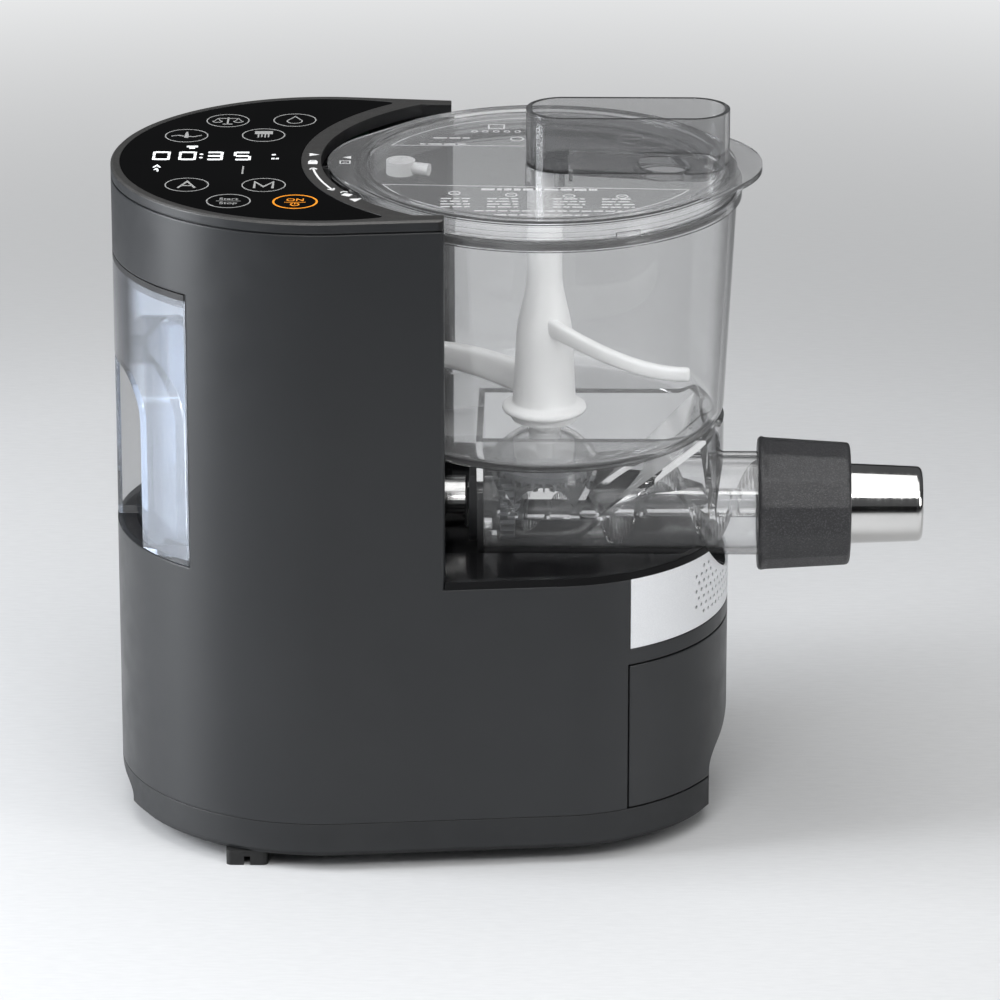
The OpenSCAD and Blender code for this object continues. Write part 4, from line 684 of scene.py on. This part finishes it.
def digit(bm, sign, x, y, width, height):
    """One seven-segment figure with its lower left corner at a place."""
    gap, bar, post = 0.5, 2.1, 1.25
    mid = height / 2
    left, right = x + post / 2, x + width - post / 2
    ends = {
        "a": ((left + gap, height - bar / 2), (right - gap, height - bar / 2)),
        "g": ((left + gap, mid), (right - gap, mid)),
        "d": ((left + gap, bar / 2), (right - gap, bar / 2)),
        "f": ((left, mid + gap), (left, height - gap)),
        "b": ((right, mid + gap), (right, height - gap)),
        "e": ((left, gap), (left, mid - gap)),
        "c": ((right, gap), (right, mid - gap)),
    }
    for name in SEGMENTS[sign]:
        points = [(u, y + v) for u, v in ends[name]]
        stroke(bm, points, bar if name in "agd" else post, PANEL_MM, FILM)


def display():
    """The lit clock, with its small signs."""
    bm = bmesh.new()
    low, tall, wide = -3.8, 13.2, 8.3
    for sign, x in (("0", -186.0), ("0", -173.6), ("3", -160.9), ("5", -147.6)):
        digit(bm, sign, x, low, wide, tall)
    for y in (low + 3.9, low + 9.2):
        dot_mark(bm, -163.0, y, 0.9, PANEL_MM, FILM)
    slab(bm, [(-170.6, 16.4), (-165.3, 16.4), (-165.3, 18.6), (-170.6, 18.6)], PANEL_MM, FILM)
    slab(bm, [(-169.3, 14.2), (-166.6, 14.2), (-166.6, 15.9), (-169.3, 15.9)], PANEL_MM, FILM)
    for points, width in (
            ([(-184.6, -15.6), (-183.0, -12.0), (-181.4, -15.6)], 0.9),
            ([(-184.0, -19.2), (-183.0, -17.2), (-182.3, -19.2), (-182.3, -21.6)], 0.8),
            ([(-129.2, -2.2), (-129.2, -0.4), (-128.3, -0.2), (-128.3, -2.2)], 0.5),
            ([(-127.2, -2.2), (-127.2, -0.4), (-126.3, -0.2), (-126.3, -2.2)], 0.5)):
        stroke(bm, points, width, PANEL_MM, FILM)
    ring_mark(bm, -128.6, 5.0, 0.75, 0.5, PANEL_MM, FILM)
    piece("clock_display", bm, LIT, "body")
    bm = bmesh.new()
    stroke(bm, [(-142.2, -13.2), (-142.2, -25.0)], 0.8, PANEL_MM, FILM)
    piece("timer_tick", bm, INK, "body")


def cover_marks():
    """The lock and unlock signs on the band round the lid, with an arrow between them."""
    bm = bmesh.new()
    z = COVER_MM

    def triangle(x, y, size, turn):
        points = [(size, 0.0), (-size * 0.8, size * 0.85), (-size * 0.8, -size * 0.85)]
        c, s = cos(radians(turn)), sin(radians(turn))
        slab(bm, [(x + c * u - s * v, y + s * u + c * v) for u, v in points], z, FILM)

    triangle(-109.6, 5.2, 2.6, 0)
    triangle(-87.2, -63.8, 2.9, 33)
    slab(bm, [(-111.9, -9.6), (-107.4, -9.6), (-107.4, -5.4), (-111.9, -5.4)], z, FILM)
    stroke(bm, arc_points(-109.65, -5.4, 1.6, 0, 180, 12), 0.8, z, FILM)
    slab(bm, [(-94.6, -57.2), (-90.9, -59.4), (-89.2, -56.4), (-92.9, -54.2)], z, FILM)
    stroke(bm, arc_points(-93.2, -53.3, 1.5, 20, 200, 12), 0.8, z, FILM)
    sweep = arc_points(0, 0, 110.4, 187.9, 206.9, 24)
    stroke(bm, sweep, 1.0, z, FILM)
    for (x, y), (px, py) in ((sweep[0], sweep[1]), (sweep[-1], sweep[-2])):
        turn = atan2(y - py, x - px)
        for side in (-1, 1):
            a = turn + side * radians(148)
            stroke(bm, [(x, y), (x + 3.2 * cos(a), y + 3.2 * sin(a))], 0.9, z, FILM)
    piece("cover_marks", bm, WHITE_INK, "body")


def dashes(bm, x, y, length, z, tall, seed):
    """A row of small bars, such as stands for a printed line."""
    spot, stop, k = x, x + length, seed
    while spot < stop - 1.2:
        k = (k * 7 + 3) % 11
        word = min(2.2 + 0.45 * k, stop - spot)
        slab(bm, [(spot, y), (spot + word, y), (spot + word, y + tall), (spot, y + tall)], z, FILM)
        spot += word + 1.1


DISC_Z = LID_TOP / MM - 1.2
NOSE_Z = LID_TOP / MM


def lid_marks():
    """The generic print on the lid: two framed tables, small round signs and an arrow."""
    bm = bmesh.new()
    for start, stop in ((200.8, 334.0), (24.2, 154.6)):
        table = arc_points(-2.6, 0.6, 78.4, start, stop, 48)
        stroke(bm, table, 0.55, DISC_Z, FILM, closed=True)
    dashes(bm, -29.6, -35.9, 55.6, DISC_Z, 2.9, 4)
    for x, y in ((-42.1, -40.3), (-15.5, -42.7), (11.6, -44.1), (36.4, -44.7)):
        ring_mark(bm, x, y, 2.6, 0.7, DISC_Z, FILM)
        stroke(bm, [(x - 1.2, y), (x + 1.2, y)], 0.6, DISC_Z, FILM)
    for column, (x, length) in enumerate(((-48.3, 13.7), (-26.6, 14.4), (4.2, 15.0), (26.8, 15.4))):
        for row in range(4):
            dashes(bm, x, -49.3 - 4.1 * row, length, DISC_Z, 1.5, 2 + 3 * column + row)
    dashes(bm, -32.5, -67.6, 68.8, DISC_Z, 1.5, 5)
    dashes(bm, -23.3, -73.7, 43.9, DISC_Z, 1.5, 7)
    frame_mark = [(-27.4, 61.4), (-20.0, 61.4), (-20.0, 67.6), (-27.4, 67.6)]
    stroke(bm, frame_mark, 0.8, DISC_Z, FILM, closed=True)
    dashes(bm, -54.0, 45.2, 17.6, DISC_Z, 1.6, 1)
    dashes(bm, -60.0, 35.4, 22.0, DISC_Z, 1.6, 6)
    ring_mark(bm, -13.6, 44.7, 3.0, 0.7, DISC_Z, FILM)
    oval = [(41.1 + 6.2 * cos(a), 47.3 + 7.5 * sin(a)) for a in [2 * pi * i / 40 for i in range(40)]]
    stroke(bm, oval, 0.8, DISC_Z, FILM, closed=True)
    dashes(bm, 36.9, 46.4, 8.4, DISC_Z, 1.6, 3)
    for i in range(5):
        ring_mark(bm, -34.2 + 5.2 * i, 56.8, 1.3, 0.6, DISC_Z, FILM)
    slab(bm, [(-96.1, 8.0), (-92.1, 10.2), (-92.1, 5.8)], NOSE_Z, FILM)
    stroke(bm, [(-97.0, -1.6), (-92.4, -1.6), (-92.4, 2.6), (-97.0, 2.6)], 0.6, NOSE_Z, FILM, closed=True)
    stroke(bm, [(-95.8, 0.5), (-93.6, 0.5)], 0.5, NOSE_Z, FILM)
    piece("lid_marks", bm, LID_INK, "lid")


panel_fields()
power_field()
display()
cover_marks()
lid_marks()

# ------------------------------------------------------------------ ring, paddle and tank grip

RING_FLATS = 14
RING_TURN = radians(15.5)  # where one corner of the flats lies, up from the front


def lathe_x(bm, profile, steps, origin, radius_at):
    """Turns a closed profile of (radius, distance) about the x axis through a place."""
    rows = []
    for k, (radius, along) in enumerate(profile):
        ring = []
        for i in range(steps):
            a = 2 * pi * i / steps
            r = radius_at(radius, along, a, k) * MM
            ring.append(bm.verts.new(origin + Vector((along * MM, -r * cos(a), r * sin(a)))))
        rows.append(ring)
    for low, high in zip(rows, rows[1:] + rows[:1]):
        for i in range(steps):
            j = (i + 1) % steps
            bm.faces.new((low[i], low[j], high[j], high[i]))


def locking_ring():
    """The locking ring, with soft-cornered flats between two round ends."""
    low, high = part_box("locking_ring")
    length = (high.x - low.x) / MM
    back_r, front_r = 32.3, 29.9
    outer = [(30.4, 0.0), (31.2, 0.25), (31.9, 0.8), (32.25, 1.7)]
    outer += [(back_r + (front_r - back_r) * t, 2.4 + (length - 5.0) * t) for t in
              (0.0, 0.03, 0.08, 0.3, 0.5, 0.7, 0.92, 0.97, 1.0)]
    outer += [(29.55, length - 1.5), (28.9, length - 0.6), (28.0, length - 0.15), (27.2, length)]
    inner = [(20.3, length), (20.3, 33.9), (25.4, 33.9), (25.4, 0.0)]
    apex = cos(pi / RING_FLATS)

    def radius_at(radius, along, angle, k):
        if k >= len(outer):
            return radius
        off = (angle - RING_TURN) % (2 * pi / RING_FLATS) - pi / RING_FLATS
        past_back = min(1.0, max(0.0, (along - 2.2) / 1.6))
        before_front = min(1.0, max(0.0, (length - 1.2 - along) / 1.6))
        flat = past_back * before_front
        cut = min(1.0 - 0.1 * (1 - apex), apex / cos(off))
        return radius * (1 + (cut - 1) * flat)

    bm = bmesh.new()
    lathe_x(bm, outer + inner, RING_FLATS * 12, Vector((low.x, 0, BARREL_Z)), radius_at)
    finish = FINISHES["sparkle_charcoal"]
    ring = piece("locking_ring_grip", bm, finish, "locking_ring", 50)
    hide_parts("locking_ring")


def smooth(t):
    """Runs from 0 to 1 with level ends."""
    return t * t * (3 - 2 * t)


def section(middle, along, wide, high, count=20, power=3.2):
    """A rounded-square ring of points across a direction."""
    side = Vector((along.y, -along.x, 0)).normalized()
    points = []
    for k in range(count):
        a = 2 * pi * k / count
        u = abs(cos(a)) ** (2 / power) * (1 if cos(a) >= 0 else -1)
        v = abs(sin(a)) ** (2 / power) * (1 if sin(a) >= 0 else -1)
        points.append(middle + side * (u * wide / 2 * MM) + Vector((0, 0, v * high / 2 * MM)))
    return points


def arm(bm, turn, root, drop, wide, root_high, tip_high):
    """A curved blade that sweeps out from the hub and ends in a rounded tip."""
    steps, start, reach, sweep = 28, 8, 75.6, 50
    rings, path = [], []
    for i in range(steps + 1):
        t = i / steps
        a = radians(turn + sweep * t ** 0.6)
        radius = start + (reach - start) * t
        path.append(at(radius * cos(a), radius * sin(a), root + drop * smooth(t)))
    for i, spot in enumerate(path):
        ahead, behind = path[min(i + 1, steps)], path[max(i - 1, 0)]
        along = Vector((ahead.x - behind.x, ahead.y - behind.y, 0)).normalized()
        t = i / steps
        high = root_high + (tip_high - root_high) * t
        rings.append(section(spot, along, wide, high))
    for push, keep in ((0.7, 0.9), (1.2, 0.7), (1.5, 0.35)):
        tip = path[-1] + along * (push * MM)
        rings.append(section(tip, along, wide * keep, tip_high * (0.4 + 0.6 * keep)))
    loft(bm, rings)


def paddle():
    """The mixing paddle as one moulded piece, with blades instead of plain bars."""
    low = PADDLE_LOW / MM + 4
    high = PADDLE_HIGH / MM
    bm = bmesh.new()
    profile = [(0, low - 3.9), (10.6, low - 3.9), (15.6, low - 3.6), (16.0, low - 0.2), (18.2, low),
               (19.7, low + 0.8), (20.2, low + 1.9), (19.9, low + 3.0), (18.8, low + 3.8), (16.2, low + 4.4),
               (15.3, low + 5.2)]
    profile += [(15.1 - 1.5 * t, low + 5.6 + 30.4 * t) for t in [i / 8 for i in range(9)]]
    profile += [(13.6 - 5.2 * smooth(t), low + 36 + 34 * t) for t in [i / 12 for i in range(1, 13)]]
    profile += [(8.4, high - 9.6), (8.1, high - 8.8), (7.4, high - 8.5), (4.5, high - 8.4), (4.5, high - 0.5),
                (4.0, high), (0, high)]
    revolve(bm, [(r * MM, z * MM) for r, z in profile], 96, Vector((AXIS_X, 0, 0)))
    arm(bm, -78, low + 45.5, -14.5, 5.6, 8.6, 6.6)
    arm(bm, 102, low + 9.2, 8.0, 7.5, 18.0, 11.0)
    shape = piece("paddle_moulding", bm, FINISHES["white_plastic"], "paddle", 40)
    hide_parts("mixing_paddle")


def tank_grip():
    """The clear bar that divides the finger recess of the tank."""
    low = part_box("water_tank")[0]
    middle_x, deep, tall = -105.7, 85.5, 84.0
    half, outer = 8.0, 99.8
    inner_x = middle_x - sqrt(deep ** 2 - half ** 2)
    bm = bmesh.new()
    outline = [(inner_x, -half)]
    for i in range(13):
        y = -half + 2 * half * i / 12
        pinch = 1.4 * max(0.0, (abs(y) - half + 1.6) / 1.6) ** 2
        outline.append((middle_x - sqrt((outer - pinch) ** 2 - y * y), y))
    outline.append((inner_x, half))
    slab(bm, outline, low.z / MM + 0.3, tall)
    piece("tank_grip", bm, FINISHES["smoke_plastic"], "water_tank")


locking_ring()
paddle()
tank_grip()

# ------------------------------------------------------------------ camera, light and floor

CAMERA_AT = Vector((0.0152 + AXIS_X, -2.9871, 1.2687))
CAMERA_TARGET = Vector((-0.02126 + AXIS_X, 0, 0.15242))
CAMERA_LENS = 237.86


def make_camera():
    data = bpy.data.cameras.new("camera")
    data.lens = CAMERA_LENS
    data.sensor_width = 36
    data.clip_start, data.clip_end = 0.05, 40
    camera = bpy.data.objects.new("camera", data)
    camera.location = CAMERA_AT
    camera.rotation_euler = (CAMERA_TARGET - CAMERA_AT).to_track_quat("-Z", "Y").to_euler()
    bpy.context.scene.collection.objects.link(camera)
    bpy.context.scene.camera = camera


def softbox(name, place, target, width, height, power, colour=(1, 1, 1)):
    """A square lamp that the camera doesn't see, turned to a place."""
    data = bpy.data.lights.new(name, "AREA")
    data.shape = "RECTANGLE"
    data.size, data.size_y = width, height
    data.energy = power
    data.color = colour
    light = bpy.data.objects.new(name, data)
    light.visible_camera = False
    light.location = place
    light.rotation_euler = (Vector(target) - Vector(place)).to_track_quat("-Z", "Y").to_euler()
    bpy.context.scene.collection.objects.link(light)


def make_lights():
    middle = (0, 0, 0.17)
    softbox("left_strip", (-1.42, -0.24, 0.62), middle, 0.66, 1.3, 36, (0.94, 0.965, 1.0))
    softbox("front_strip", (0.05, -1.22, 1.25), middle, 1.4, 0.2, 7)
    softbox("top_box", (0.1, -0.35, 1.9), (0, -0.1, 0.17), 1.5, 2.3, 25)
    softbox("right_box", (1.5, -0.9, 0.9), middle, 0.5, 1.2, 9)
    softbox("front_fill", (-0.5, -2.2, 1.9), middle, 1.2, 0.9, 5)
    world = bpy.data.worlds.new("studio")
    bpy.context.scene.world = world
    world.use_nodes = True
    background = world.node_tree.nodes["Background"]
    background.inputs["Color"].default_value = (0.92, 0.94, 0.97, 1)
    background.inputs["Strength"].default_value = 0.1


STAGE_R = 5.2
STAGE_BEND = 0.5
STAGE_TOP = 1.25
FADE_START, FADE_STOP = 0.6, 1.5  # where the lit floor gives way to the plain pale one


def make_floor():
    """A round pale floor bent up at its edge: far out it is dark in reflections and pale to the eye."""
    bm = bmesh.new()
    flat = STAGE_R - STAGE_BEND
    bends = [pi / 2 * i / 12 for i in range(1, 13)]
    profile = [(0, 0), (1, 0), (2.5, 0), (flat, 0)]
    profile += [(flat + STAGE_BEND * sin(a), STAGE_BEND * (1 - cos(a))) for a in bends]
    profile.append((STAGE_R, STAGE_TOP))
    revolve(bm, profile, 96)
    mesh = bpy.data.meshes.new("floor")
    bm.to_mesh(mesh)
    bm.free()
    mesh.shade_smooth()
    m = Material("floor", (0.70, 0.705, 0.71), 0.5)
    grain = m.blend(m.noise(500, 2, (0.2, 1, 1)), m.colour, (0.62, 0.625, 0.63))
    far = m.ramp(m.reach(), 0, 1, FADE_START, FADE_STOP)
    m.paint(m.blend(far, grain, (0.04, 0.04, 0.042)))
    path = m.nodes.new("ShaderNodeLightPath")
    seen = m.math("MAXIMUM", path.outputs["Is Camera Ray"], path.outputs["Is Transmission Ray"])
    pale = m.nodes.new("ShaderNodeEmission")
    pale.inputs["Color"].default_value = (0.86, 0.868, 0.875, 1)
    mix = m.nodes.new("ShaderNodeMixShader")
    m.links.new(m.math("MULTIPLY", far, seen), mix.inputs[0])
    m.links.new(m.bsdf.outputs[0], mix.inputs[1])
    m.links.new(pale.outputs[0], mix.inputs[2])
    m.links.new(mix.outputs[0], m.out.inputs["Surface"])
    mesh.materials.append(m.mat)
    floor = bpy.data.objects.new("floor", mesh)
    bpy.context.scene.collection.objects.link(floor)


make_camera()
make_lights()
make_floor()
bpy.context.scene.view_settings.view_transform = "Standard"
